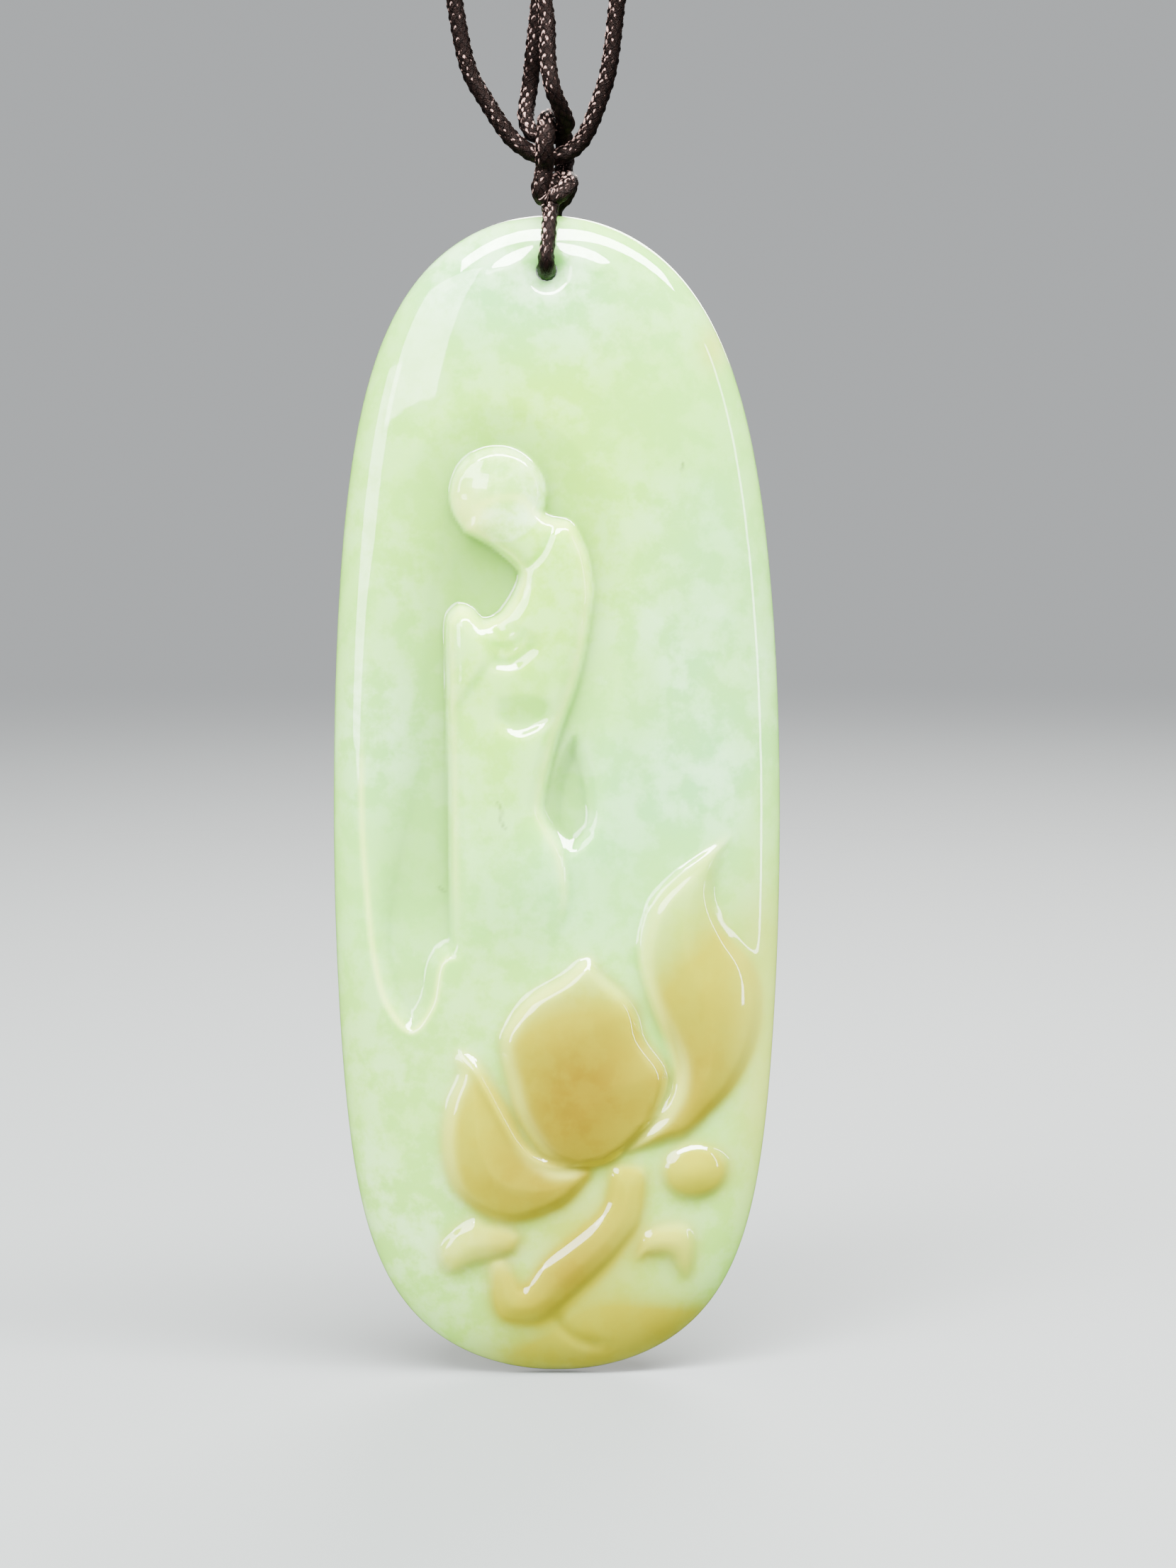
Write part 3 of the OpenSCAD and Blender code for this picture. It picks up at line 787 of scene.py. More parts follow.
@dataclass
class Lotus:
    """The lotus with its stem, leaves and bud. It keeps how far inside its forms each point of the raster is."""

    form: StoneForm
    raster: Raster
    # Share of the stone's height that the lotus lies below.
    high: float = 0.5
    petals: tuple[Pillow, Pillow, Pillow] = (
        Pillow(0.36, 0.65, 0.36, 3.6, 0.2), Pillow(0.36, 0.65, 0.36, 3.6, 0.2), Pillow(0.48, 0.65, 0.36, 3.6, 0.2),
    )
    stem: Pillow = Pillow(0.18, 0.35, 0.12, 1.4)
    leaf: Pillow = Pillow(0.22, 0.4, 0.12, 1.3)
    # The bud. Its place is in shares.
    bud: Pillow = Pillow(0.26, 0.45, 0.2, 1.6)
    bud_at: tuple[float, float] = (0.310, 0.184)
    bud_half: tuple[float, float] = (1.97, 1.66)
    # The soft swelling of the face under and round all of them.
    swelling: Pillow = Pillow(0.3, 0.9)
    swelling_spread: float = 0.55

    def __post_init__(self) -> None:
        """Works out how far inside the petals, and inside the stem, leaves and bud each point is."""
        place, inside = self.form.place, self.raster.inside
        self.each_petal = [inside(place(outline)) for outline in (RIGHT_PETAL, LEFT_PETAL, CENTRE_PETAL)]
        self.stem_in, *self.each_leaf = [inside(place(outline)) for outline in (STEM, LEFT_LEAF, RIGHT_LEAF)]
        self.bud_in = (1 - self.raster.away(*place([self.bud_at])[0], *self.bud_half)) * self.bud_half[1]
        self.petals_in = np.maximum.reduce(self.each_petal)
        self.others_in = np.maximum.reduce([self.stem_in, *self.each_leaf, self.bud_in])

    def heights(self) -> Array:
        """Works out the lotus: pillowed petals, stem, leaves and bud on a soft swelling, with thin lips.

        A petal has a straight bevel as its border and a slow crown inside it, and a thin lip runs along its turned
        edge. The face swells softly under and round all of them, so that they grow out of it.

        Returns:
            Heights over the face, in millimetres.
        """
        forms = [pillow.over(petal) for pillow, petal in zip(self.petals, self.each_petal)]
        forms += [self.leaf.over(leaf) for leaf in self.each_leaf]
        forms += [self.stem.over(self.stem_in), self.bud.over(self.bud_in)]
        under = self.swelling.over(np.maximum(self.petals_in, self.others_in))
        whole = np.maximum.reduce(forms) + self.raster.blurred(under, self.swelling_spread)
        whole = whole + self.raster.ridges(LOTUS_LIPS)
        return np.where(self.form.height_share(self.raster.z) < self.high, whole, 0.0)


@dataclass
class Carving:
    """Heights and colour shares of the carved face, each a layer on the raster that can be read at any point."""

    form: StoneForm
    hole: Hole
    polish: float = 0.06
    # Colours: their shares in the forms, and the borders in millimetres or levels that they fade across.
    tints: TintShares = TintShares()
    lotus_border: Ramp = Ramp(-0.28, 0.42)
    petal_spread: float = 0.2
    stem_spread: float = 0.35
    head_border: Ramp = Ramp(0.0, 0.15)
    robe_border: Ramp = Ramp(0.0, 0.8)
    robe_spread: float = 0.4
    figure_border: Ramp = Ramp(-0.06, 0.06)
    lemon_below: Ramp = Ramp(-35.0, -43.0)
    # The painted highlight along the robe shows above these levels.
    robe_highlight_above: Ramp = Ramp(-37.0, -33.0)
    # The painted shade: the levels that it lies between, and the corners where the face is lower than its blurred
    # surroundings.
    shade_above: Ramp = Ramp(-39.0, -33.0)
    shade_below: Ramp = Ramp(-2.5, -4.5)
    corner_spread: float = 0.7
    corner_least: float = 0.03
    chest_depth: float = 0.4
    crack_half: float = 0.06
    within_spread: float = 1.5
    # Painted highlight lines along the robe, the ground's lip and the petals.
    robe_highlight: Edge = Edge(0.35, 0.25)
    lip_highlight: Edge = Edge(0.05, 0.16)
    petal_highlight: Edge = Edge(0.4, 0.4)
    petal_highlight_spread: float = 0.25
    # What a petal's painted highlight keeps where its border looks neither to the light nor away from it.
    unlit: float = 0.35

    def __post_init__(self) -> None:
        """Carves figure and lotus, softens the heights as polishing does, and lays the colours."""
        self.raster = Raster()
        self.figure, self.lotus = Figure(self.form, self.raster), Lotus(self.form, self.raster)
        relief = self.figure.heights() + self.lotus.heights() + self.hole.heights(self.raster)
        self.layers = {"height": self.raster.blurred(relief, self.polish)}
        self._tint()

    def read(self, layer: str, x: Array, z: Array) -> Array:
        """Returns the values of a layer at places right and up of the hole, in millimetres."""
        return self.raster.read(self.layers[layer], x, z)

    def _tint(self) -> None:
        """Works out where each colour of the stone lies, as shares from 0 to 1 of soft patches and outlines, among
        them painted shade, painted highlights and painted glow.
        """
        raster, tints = self.raster, self.tints
        petals = raster.blurred(self.lotus_border.straight(self.lotus.petals_in), self.petal_spread)
        stems = raster.blurred(self.lotus_border.straight(self.lotus.others_in), self.stem_spread)
        patch = {name: raster.patches(rows) for name, rows in PATCHES.items()}
        head = self.head_border.straight(self.figure.head_in)
        robe = raster.blurred(self.robe_border.straight(self.figure.robe_in), self.robe_spread)
        leaves = stems * patch["leaf"]
        cracks = sum(bell(raster.distance(spline(line, SPANS)), self.crack_half) for line in CRACKS)
        foot = self.lemon_below.soft(raster.z)
        lemon = petals * (tints.petal_lemon + patch["gold"]) + tints.stem_lemon * stems - leaves
        # Painted glow at the right edge and on the head, and the leaves' own paler tone.
        bright = patch["bright"] + (patch["head_low_glow"] + tints.head_glow) * head + tints.leaf_bright * leaves
        colours = {
            Tint.AMBER: petals * patch["heart"] + stems * patch["stem_heart"] + tints.rim_amber * patch["rim"],
            Tint.LEMON: lemon + tints.rim_lemon * patch["rim"] + tints.foot_lemon * foot + patch["lemon"],
            Tint.LIME: patch["lime"] + robe * patch["lime_robe"],
            Tint.MINT: patch["mint"],
            # The head's milk is partly a painted glow.
            Tint.MILK: tints.whole_milk + patch["milk"] + tints.head_milk_and_glow * head,
            # Painted highlights and glow, and the leaves' paler tone.
            Tint.PAINTED_LIGHT_AND_PALE: bright + self._painted_highlights(),
            Tint.DARK: tints.crack_dark * cracks,
            # Painted shade in the hollows.
            Tint.PAINTED_SHADE: self._depth(petals + stems, patch["chest_shade"]),
        }
        for tint, share in colours.items():
            self.layers[tint.value] = clamp(share)
        for tint in WITHIN:
            self.layers[tint.value + "_within"] = raster.blurred(self.layers[tint.value], self.within_spread)

    def _painted_highlights(self) -> Array:
        """Works out the painted highlights: thin bright lines along the robe, the ground's lip and the petals.

        A petal's painted highlight is the brighter the more its border looks to the upper left, where the light comes
        from.

        Returns:
            Their share, from 0 up.
        """
        raster, figure, tints, petals_in = self.raster, self.figure, self.tints, self.lotus.petals_in
        robe = tints.robe_highlight_share * self.robe_highlight.along(figure.robe_in) * self.robe_highlight_above.soft(raster.z)
        lip = tints.lip_highlight_share * self.lip_highlight.along(figure.ground_in) * figure.lip
        rise, run = np.gradient(raster.blurred(petals_in, self.petal_highlight_spread), raster.step)
        lit = smooth(self.unlit + (1 - self.unlit) * (run - rise) / math.sqrt(2))
        return robe + lip + tints.petal_highlight_share * self.petal_highlight.along(petals_in) * lit

    def _depth(self, lotus: Array, chest: Array) -> Array:
        """Works out the painted shade: a deeper green in the lowered ground and its corners, beside figure and lotus.

        Args:
            lotus: Share of the lotus.
            chest: Share of the painted shade in the hollow before the figure's chest.

        Returns:
            The share of the painted shade.
        """
        height, figure = self.layers["height"], self.figure
        corner = np.maximum(0, self.raster.blurred(height, self.corner_spread) - height - self.corner_least)
        sunk = self.tints.sunk_shade * clamp(-height / figure.ground_depth) + corner
        sunk = sunk + chest * clamp(-height / self.chest_depth)
        clear = 1 - clamp(lotus + 1 - self.shade_above.soft(self.raster.z))
        beside = 1 - self.figure_border.straight(np.maximum(figure.robe_in, figure.head_in))
        return sunk * clear * beside * self.shade_below.soft(self.raster.z)


@dataclass
class JadePlaque:
    """The carved stone: a closed two-parameter skin with a drilled hole."""

    form: StoneForm
    hole: Hole
    front_cols: int = 174
    back_cols: int = 14
    rows: int = 490
    # Trial levels to a row, the part of the way to an edge with even steps, and where the carving has died away.
    trial: int = 8
    even: float = 0.85
    rim_share: float = 0.45
    # Levels between which the face is plain, and how many rows it gets there against elsewhere.
    plain_share: float = 0.5
    plain_above: Ramp = Ramp(-8.5, -7.0)
    plain_below: Ramp = Ramp(-2.2, -3.2)
    plain_foot: Ramp = Ramp(-61.8, -62.8)
    # The back's share of the colours, and the depths that they change over.
    back_share: float = 0.75
    face_depth: Ramp = Ramp(0.0, -2.0)
    back_depth: Ramp = Ramp(0.0, 1.5)
    # The bore: its corners, how far the cutter stands out, and where its wall is painted dark as shade.
    bore_sides: int = 64
    bowl_rings: int = 7
    cutter_out: float = 1.0
    shade_radius_share: float = 1.05
    shade_from: float = 0.3

    def eased(self, v: Array) -> Array:
        """Returns even steps in the middle that close up towards 1 and -1 by the square of what is left."""
        outer = np.sign(v) * (1 - (1 - np.abs(v)) ** 2 / (1 - self.even**2))
        return np.where(np.abs(v) < self.even, v * 2 / (1 + self.even), outer)

    def front_y(self, u: Array, t: Array, carving: Carving) -> Array:
        """Works out the face: the front dome plus the carving, which dies away where the rim rounds over.

        Args:
            u: Place across, from -1 to 1.
            t: Share of the height, from -1 to 1.
            carving: Heights of the carved face.

        Returns:
            Depth of the face, negative to the front.
        """
        dome = self.form.dome(u, t)
        x = self.form.middle(t) + u * self.form.half_width(t)
        relief = carving.read("height", x, self.form.level(t))
        return -(self.form.front * dome + relief * smooth(dome / self.rim_share))

    def levels(self) -> Array:
        """Works out where the rows lie: even steps by level, wider ones where the face is plain.

        Returns:
            The share t of each row.
        """
        t = self.eased(np.linspace(-1, 1, self.trial * self.rows + 1))
        z = self.form.level(t)
        plain = self.plain_above.soft(z) * self.plain_below.soft(z) + self.plain_foot.soft(z)
        count = np.concatenate([[0], np.cumsum(1 - (1 - self.plain_share) * clamp(plain[1:]))])
        return np.interp(np.linspace(0, count[-1], self.rows + 1), count, t)

    def surface(self, carving: Carving) -> Array:
        """Works out the skin's points, foot pole first.

        Row t is a ring: the face from u = -1 to 1, then the plain back from 1 to -1. A point lies at the middle
        line plus u half widths, at the level of t.

        Args:
            carving: Heights of the carved face.

        Returns:
            One row of right, back, up for each point.
        """
        t = self.levels()[1:-1, None]
        front = self.eased(np.linspace(-1, 1, self.front_cols + 1))[None]
        back = self.eased(np.linspace(1, -1, self.back_cols + 1)[1:-1])[None]
        u = np.concatenate([front, back], 1) + 0 * t
        t = t + 0 * u
        ahead, behind = slice(0, front.size), slice(front.size, None)
        face = self.front_y(u[:, ahead], t[:, ahead], carving)
        rear = self.form.back * self.form.dome(u[:, behind], t[:, behind])
        x = self.form.middle(t) + u * self.form.half_width(t)
        ring = np.stack([x, np.concatenate([face, rear], 1), self.form.level(t)], -1).reshape(-1, 3)
        ends = np.array([[self.form.middle(np.array(s)), 0.0, self.form.level(np.array(s))] for s in (-1.0, 1.0)])
        return np.concatenate([ends[:1], ring, ends[1:]])

    def drill(self, stone: bpy.types.Object, front: float, back: float) -> None:
        """Cuts the bore, with a bowl at the back.

        The cutter is turned round the hole's axis. Its radius is the bore's, and grows evenly to the bowl's as it
        leaves the back. The bowl at the front is part of the carved face.

        Args:
            stone: The stone, which is cut and keeps its name.
            front: Depth of the face at the hole, to the front.
            back: Depth of the back at the hole.
        """
        bore, wide, deep = self.hole.bore_r, self.hole.sink_r, self.hole.sink_depth
        s = np.linspace(0, 1, self.bowl_rings)
        y = np.concatenate([[front - self.cutter_out], back - deep * (1 - s), [back + self.cutter_out]])
        r = np.concatenate([[bore], bore + (wide - bore) * s, [wide]])
        a = np.linspace(0, 2 * math.pi, self.bore_sides + 1)[:-1]
        ring = np.stack([r[:, None] * np.cos(a), y[:, None] + 0 * a, -r[:, None] * np.sin(a)], -1).reshape(-1, 3)
        points = np.concatenate([[[0, y[0], 0]], ring, [[0, y[-1], 0]]])
        cutter = make_plain("hole_cutter", points, skin_faces(len(y), len(a)))
        cut = stone.modifiers.new("hole", "BOOLEAN")
        cut.operation, cut.solver, cut.object = "DIFFERENCE", "EXACT", cutter
        bpy.context.view_layer.update()
        whole = bpy.data.meshes.new_from_object(stone.evaluated_get(bpy.context.evaluated_depsgraph_get()))
        stone.modifiers.remove(cut)
        bpy.data.objects.remove(cutter)
        stone.data = whole

    def paint(self, stone: bpy.types.Object, carving: Carving, front: float) -> None:
        """Writes the colour shares onto the mesh as named attributes, and paints shade on the bore's wall as a dark
        colour.

        Args:
            stone: The drilled stone.
            carving: Colours of the carved face.
            front: Depth of the face at the hole.
        """
        mesh = stone.data
        place = np.empty(len(mesh.vertices) * 3, np.float32)
        mesh.vertices.foreach_get("co", place)
        x, y, z = (place.reshape(-1, 3) / MM + np.array([0.0, 0.0, HOLE_BELOW_NECK])).T
        through = self.back_share + (1 - self.back_share) * self.face_depth.soft(y)
        bore_shade = (np.hypot(x, z) < self.shade_radius_share * self.hole.bore_r) & (y > front + self.shade_from)
        for tint in Tint:
            share = carving.read(tint.value, x, z)
            if tint in WITHIN:
                within = carving.read(tint.value + "_within", x, z)
                share = share + (within - share) * self.back_depth.soft(y)
            share = share * through
            if tint in FACE_ONLY:
                share = share * (y < 0)
            # The bore's wall behind the face is painted dark as shade.
            if tint is Tint.DARK:
                share = np.maximum(share, bore_shade)
            write_values(mesh, tint.value, share)

    def build(self) -> bpy.types.Object:
        """Carves the stone, drills it and paints it.

        Returns:
            Its object, which stands for the CAD stone.
        """
        carving = Carving(self.form, self.hole)
        ring = self.front_cols + self.back_cols
        points = self.surface(carving)
        stone = make_piece("carved_stone", points, skin_faces(self.rows - 1, ring), Slot.JADE, Body.PENDANT)
        t = self.form.share(np.array(0.0))
        u = -self.form.middle(t) / self.form.half_width(t)
        depth = float(self.front_y(u, t, carving))
        self.drill(stone, depth, float(self.form.back * self.form.dome(u, t)))
        self.paint(stone, carving, depth)
        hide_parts("jade_plaque")
        return stone


# Routes of the cords, repeated from the CAD source: millimetres right, back and up of the centre of the hole.
BAIL_LOOP_ROUTE: Points = [
    (0.2, -0.9, 3.6), (0.2, -1.12, 3.38), (0.2, -1.42, 3.05), (0.15, -1.9, 2.4), (0.1, -2.25, 1.6),
    (0, -2.45, 0.9), (0, -2.4, 0.4), (0, -2.1, 0.1), (0, -1.6, 0), (0, 0, 0), (0, 1.4, 0), (0, 1.9, 0.1),
    (0, 2.2, 0.4), (0, 2.25, 0.9), (0.1, 2.15, 1.6), (0.2, 1.95, 2.3), (0.4, 1.62, 2.97), (0.45, 1.2, 3.35),
    (0.5, 0.92, 3.6),
]
BAIL_EYE_ROUTE: Points = [
    (-0.1, -0.85, 5.5), (-0.1, -1.03, 5.75), (-0.1, -1.3, 6.15), (-0.1, -1.4, 6.9), (0, -1.25, 7.7),
    (0, -0.8, 8.3), (0.3, 0, 8.55), (0.6, 0.75, 8.3), (0.85, 1.2, 7.7), (1, 1.4, 6.9), (1, 1.3, 6.15),
    (0.95, 1.06, 5.75), (0.9, 0.88, 5.5),
]
# The necklace's arch over its widest level, up to the knot at the nape. Columns: millimetres right and up.
ARCH: Points = [
    (58.5, 229), (56, 246), (49, 261), (37.5, 273.9), (24, 282.4), (12, 286.3), (6, 287.4), (4.1, 287.5),
]


def neck_route(back: float, below: Points) -> Points:
    """Returns a pass of the necklace: the arch down on the left, the points below, and the arch up on the right."""
    return [(-x, back, z) for x, z in reversed(ARCH)] + below + [(x, back, z) for x, z in ARCH]


OUTER_ROUTE = neck_route(-0.75, [
    (-56.6, -0.75, 214.4), (-44, -0.75, 166), (-26, -0.75, 97), (-9, -0.75, 32), (-5.9, -0.4, 20),
    (-5.2, -0.1, 15.5), (-4.4, -0.1, 11.4), (-3.3, -0.15, 9.3), (-2.1, -0.2, 7.5), (-1.3, -0.25, 6.8),
    (-0.6, -0.25, 6.4), (0, -0.2, 6.3), (0.7, -0.1, 6.35), (1.5, 0.15, 6.75), (2.2, 0.2, 7.6),
    (2.9, 0.15, 9.3), (3.5, 0.1, 11.4), (4, 0, 15.5), (4.6, -0.4, 20), (8, -0.75, 32), (26, -0.75, 99),
    (44, -0.75, 167), (56.6, -0.75, 214.4),
])
INNER_ROUTE = neck_route(0.75, [
    (-56.3, 0.75, 213), (-43, 0.75, 167), (-23.5, 0.75, 100), (-4.5, 0.9, 34), (-1.6, 1, 23), (-0.6, 1, 18),
    (-0.4, 1, 15.5), (-0.7, 1.2, 12.5), (-0.9, 1.5, 10.6), (-1.1, 1.4, 9.3), (-1.15, 1, 8.4),
    (-0.75, 0.45, 7.6), (0, 0.2, 7.45), (0.7, -0.15, 7.6), (1.1, -0.85, 8.1), (0.8, -1.55, 8.9),
    (0.35, -1.9, 10), (0.1, -1.7, 11.5), (0.05, -1.4, 13.5), (-0.1, -1.2, 15.5), (0.6, -1, 18.5),
    (2, -0.8, 24), (4.5, 0, 34), (23.5, 0.75, 100), (43, 0.75, 167), (56.3, 0.75, 213),
])
# The bail's knot. The front strand comes down from the eye, turns to the right in front, goes round behind and
# comes out below, to the hole. The back strand runs down beside it, bowed to the right.
KNOT_FRONT_STRAND: Points = [
    (-0.1, -1.1, 5.9), (-0.12, -0.98, 5.5), (-0.26, -0.98, 4.95), (-0.36, -0.98, 4.45), (-0.22, -0.92, 4.08),
    (0.2, -0.98, 3.98), (0.68, -0.92, 4.2), (1.1, -0.6, 4.6), (1.28, -0.05, 4.95), (1.0, 0.4, 5.12),
    (0.45, 0.4, 4.95), (0.12, 0.1, 4.6), (0.14, -0.4, 4.15), (0.2, -0.82, 3.74), (0.2, -1.12, 3.4),
]
KNOT_BACK_STRAND: Points = [
    (0.97, 1.12, 5.86), (1.02, 0.95, 5.5), (1.22, 0.82, 5.0), (1.24, 0.82, 4.5), (0.98, 0.88, 4.05),
    (0.62, 0.95, 3.7), (0.46, 1.15, 3.38),
]


@dataclass
class BraidedCord:
    """A round braided cord along a route, with its braid worked into the surface where the stone hangs."""

    route: Points
    diameter: float
    across: tuple[float, float, float]
    # Length of a braid turn, and the braid's depth as a share of the radius.
    turn: float = 4.0
    depth: float = 0.2
    sides: int = 48
    # Steps from ring to ring near the stone and far from it, and the levels that the braid and they change over.
    fine: float = 0.055
    coarse: float = 1.6
    far: Ramp = Ramp(17.0, 22.0)
    # How much wider it is across, and how much it flares within a distance of the hole's level.
    widen: float = 1.0
    flare: float = 0.0
    flare_half: float = 0.7
    # Steps of its smooth curve between two points of the route.
    steps: int = 40

    def centreline(self) -> tuple[Array, Array]:
        """Works out the ring centres and how far along each lies.

        The route's smooth curve is walked with steps that are fine near the stone and grow to coarse ones away
        from it: step counts are summed along the curve and rings are read off at whole counts.

        Returns:
            The centres, one row each, and their lengths along the cord.
        """
        line = spline(self.route, self.steps)
        length = np.concatenate([[0], np.cumsum(np.linalg.norm(np.diff(line, axis=0), axis=1))])
        step = self.fine + (self.coarse - self.fine) * self.far.soft(line[:, 2]) ** 2
        count = np.concatenate([[0], np.cumsum(np.diff(length) / ((step[1:] + step[:-1]) / 2))])
        want = np.linspace(0, count[-1], int(count[-1]) + 2)
        along = np.interp(want, count, length)
        centres = np.stack([np.interp(along, length, line[:, k]) for k in range(3)], -1)
        return centres, along

    def braid(self, around: Array, along: Array) -> Array:
        """Returns the height of the braid, from 0 in the gaps to 1 on a strand's crown.

        With A = n(around + along) and B = n(around - along), the strands of one lay are the bands round whole A
        and those of the other round whole B. Each band is |cos| across itself, and it rises and dips along
        itself, one lay over the other by turns. The higher one shows.

        Args:
            around: Turns round the cord.
            along: Braid turns along the cord.

        Returns:
            Heights, the same shape.
        """
        a, b = STRANDS * (around + along), STRANDS * (around - along)
        i, j = np.round(a), np.round(b)
        one = np.abs(np.cos(math.pi * a)) * (1 - BRAID_RISE + BRAID_RISE * np.cos(math.pi * (b + i)))
        other = np.abs(np.cos(math.pi * b)) * (1 - BRAID_RISE - BRAID_RISE * np.cos(math.pi * (a + j)))
        return np.maximum(one, other)

    def skin(self) -> "CordSkin":
        """Works out the cord's skin.

        A point is the ring's centre plus radius times (cos a * side + sin a * up), where side is the across
        direction made square to the cord. The radius is thinned by depth times what the braid lacks of 1, and it
        flares where the cord fills the drilled hole.

        Returns:
            The closed skin, with a pole at each end.
        """
        centre, along = self.centreline()
        tangent = np.gradient(centre, axis=0)
        tangent /= np.linalg.norm(tangent, axis=1, keepdims=True)
        ref = np.asarray(self.across, float)
        side = ref - (tangent @ ref)[:, None] * tangent
        side /= np.linalg.norm(side, axis=1, keepdims=True)
        up = np.cross(tangent, side)
        around = (np.arange(self.sides) / self.sides)[None] + 0 * along[:, None]
        run = along[:, None] / self.turn + 0 * around
        carved = 1 - self.far.soft(centre[:, 2])[:, None]
        r = self.diameter / 2 * (1 - self.depth * carved * (1 - self.braid(around, run)))
        r = r * (1 + self.flare * bell(centre[:, 2:], self.flare_half))
        a = 2 * math.pi * around
        ring = (
            centre[:, None]
            + (self.widen * r * np.cos(a))[..., None] * side[:, None]
            + (r * np.sin(a))[..., None] * up[:, None]
        )
        points = np.concatenate([centre[:1], ring.reshape(-1, 3), centre[-1:]])
        return CordSkin(
            points,
            [face[::-1] for face in skin_faces(len(centre), self.sides)],
            np.concatenate([[0], around.reshape(-1), [0]]),
            np.concatenate([run[0, :1], run.reshape(-1), run[-1, :1]]),
        )

    def build(self, name: str, node: str) -> bpy.types.Object:
        """Builds the cord as a piece of that name, lets it stand for its CAD node, and returns it."""
        return self.skin().build(name, node)


@dataclass
class CordSkin:
    """A skin of cord, with the turns around and along the braid at each of its points."""

    points: Array
    faces: list[list[int]]
    around: Array
    run: Array

    def joined(self, other: "CordSkin") -> "CordSkin":
        """Joins two skins, with the other's corner numbers moved past this one's.

        Args:
            other: The other skin.

        Returns:
            One skin of both.
        """
        moved = [[c + len(self.points) for c in face] for face in other.faces]
        return CordSkin(
            np.concatenate([self.points, other.points]),
            self.faces + moved,
            np.concatenate([self.around, other.around]),
            np.concatenate([self.run, other.run]),
        )

    def build(self, name: str, node: str) -> bpy.types.Object:
        """Makes the piece, writes the turns that its weave is drawn by, and lets it stand for a CAD node.

        The turns around are kept as their cosine and sine, so that no seam shows where they start again.

        Args:
            name: Name of the piece.
            node: The CAD node.

        Returns:
            The piece's object.
        """
        piece = make_piece(name, self.points, self.faces, Slot.CORD, Body.NECKLACE)
        a = 2 * math.pi * self.around
        for key, values in (("weave_cos", np.cos(a)), ("weave_sin", np.sin(a)), ("weave_run", self.run)):
            write_values(piece.data, key, values)
        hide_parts(node)
        return piece


@dataclass
class BailKnot:
    """The bail's overhand knot, of the front strand that turns round and the back strand beside it."""

    diameter: float = 0.92
    front_widen: float = 1.16

    def build(self) -> bpy.types.Object:
        """Builds the knot from its two strands.

        Returns:
            The knot's object.
        """
        front = BraidedCord(KNOT_FRONT_STRAND, self.diameter, RIGHT, widen=self.front_widen).skin()
        back = BraidedCord(KNOT_BACK_STRAND, self.diameter, RIGHT).skin()
        return front.joined(back).build("bail_knot_turns", "bail_knot")


@dataclass
class NapeKnot:
    """The closing knot behind the neck: a plain barrel of cord wound round the two strands."""

    length: float = 8.0
    radius: float = 1.8
    cord_d: float = NECK_CORD
    # Its middle over the point where the cords rest on the neck.
    level: float = 0.85
    sides: int = 96
    rings: int = 170
    turn: float = 4.0
    # The power that squares its shoulders, and the depth of the grooves between its turns.
    shoulder: int = 9
    groove: float = 0.97

    def build(self) -> bpy.types.Object:
        """Builds the barrel.

        Its radius at a place x along it is the winding's: the barrel's less half a cord, plus half a cord times
        sqrt(1 - groove q^2), where q runs from -1 to 1 across each turn and moves on by one turn round the barrel.
        A round shoulder, the root of 1 - |v|^shoulder, closes each end.

        Returns:
            The knot's object.
        """
        v = np.sin(np.linspace(-math.pi / 2, math.pi / 2, self.rings + 2)[1:-1])[:, None]
        around = (np.arange(self.sides) / self.sides)[None] + 0 * v
        x = v * self.length / 2 + 0 * around
        phase = x / self.cord_d + around
        q = 2 * (phase - np.floor(phase)) - 1
        shoulder = (1 - np.abs(v) ** self.shoulder) ** 0.5
        half = self.cord_d / 2
        r = (self.radius - half + half * np.sqrt(1 - self.groove * q * q)) * shoulder
        a = 2 * math.pi * around
        up = HOLE_BELOW_NECK + self.level
        ring = np.stack([x, r * np.cos(a), up + r * np.sin(a)], -1).reshape(-1, 3)
        ends = np.array([[-self.length / 2, 0, up], [self.length / 2, 0, up]])
        points = np.concatenate([ends[:1], ring, ends[1:]])
        run = np.concatenate([[0], ((phase * 2 * math.pi * self.radius) / self.turn).reshape(-1), [0]])
        turns = np.concatenate([[0], (q / 4 + 0.25).reshape(-1), [0]])
        return CordSkin(points, skin_faces(self.rings, self.sides), turns, run).build("nape_barrel", "nape_knot")


def srgb(code: str) -> tuple[float, float, float, float]:
    """Turns a colour code into the linear colour that Blender works with.

    Args:
        code: A colour such as #DDEEFF.

    Returns:
        Red, green, blue and 1.
    """
    parts = [int(code[k : k + 2], 16) / 255 for k in (1, 3, 5)]
    linear = [c / 12.92 if c <= 0.04045 else ((c + 0.055) / 1.055) ** 2.4 for c in parts]
    return (*linear, 1.0)


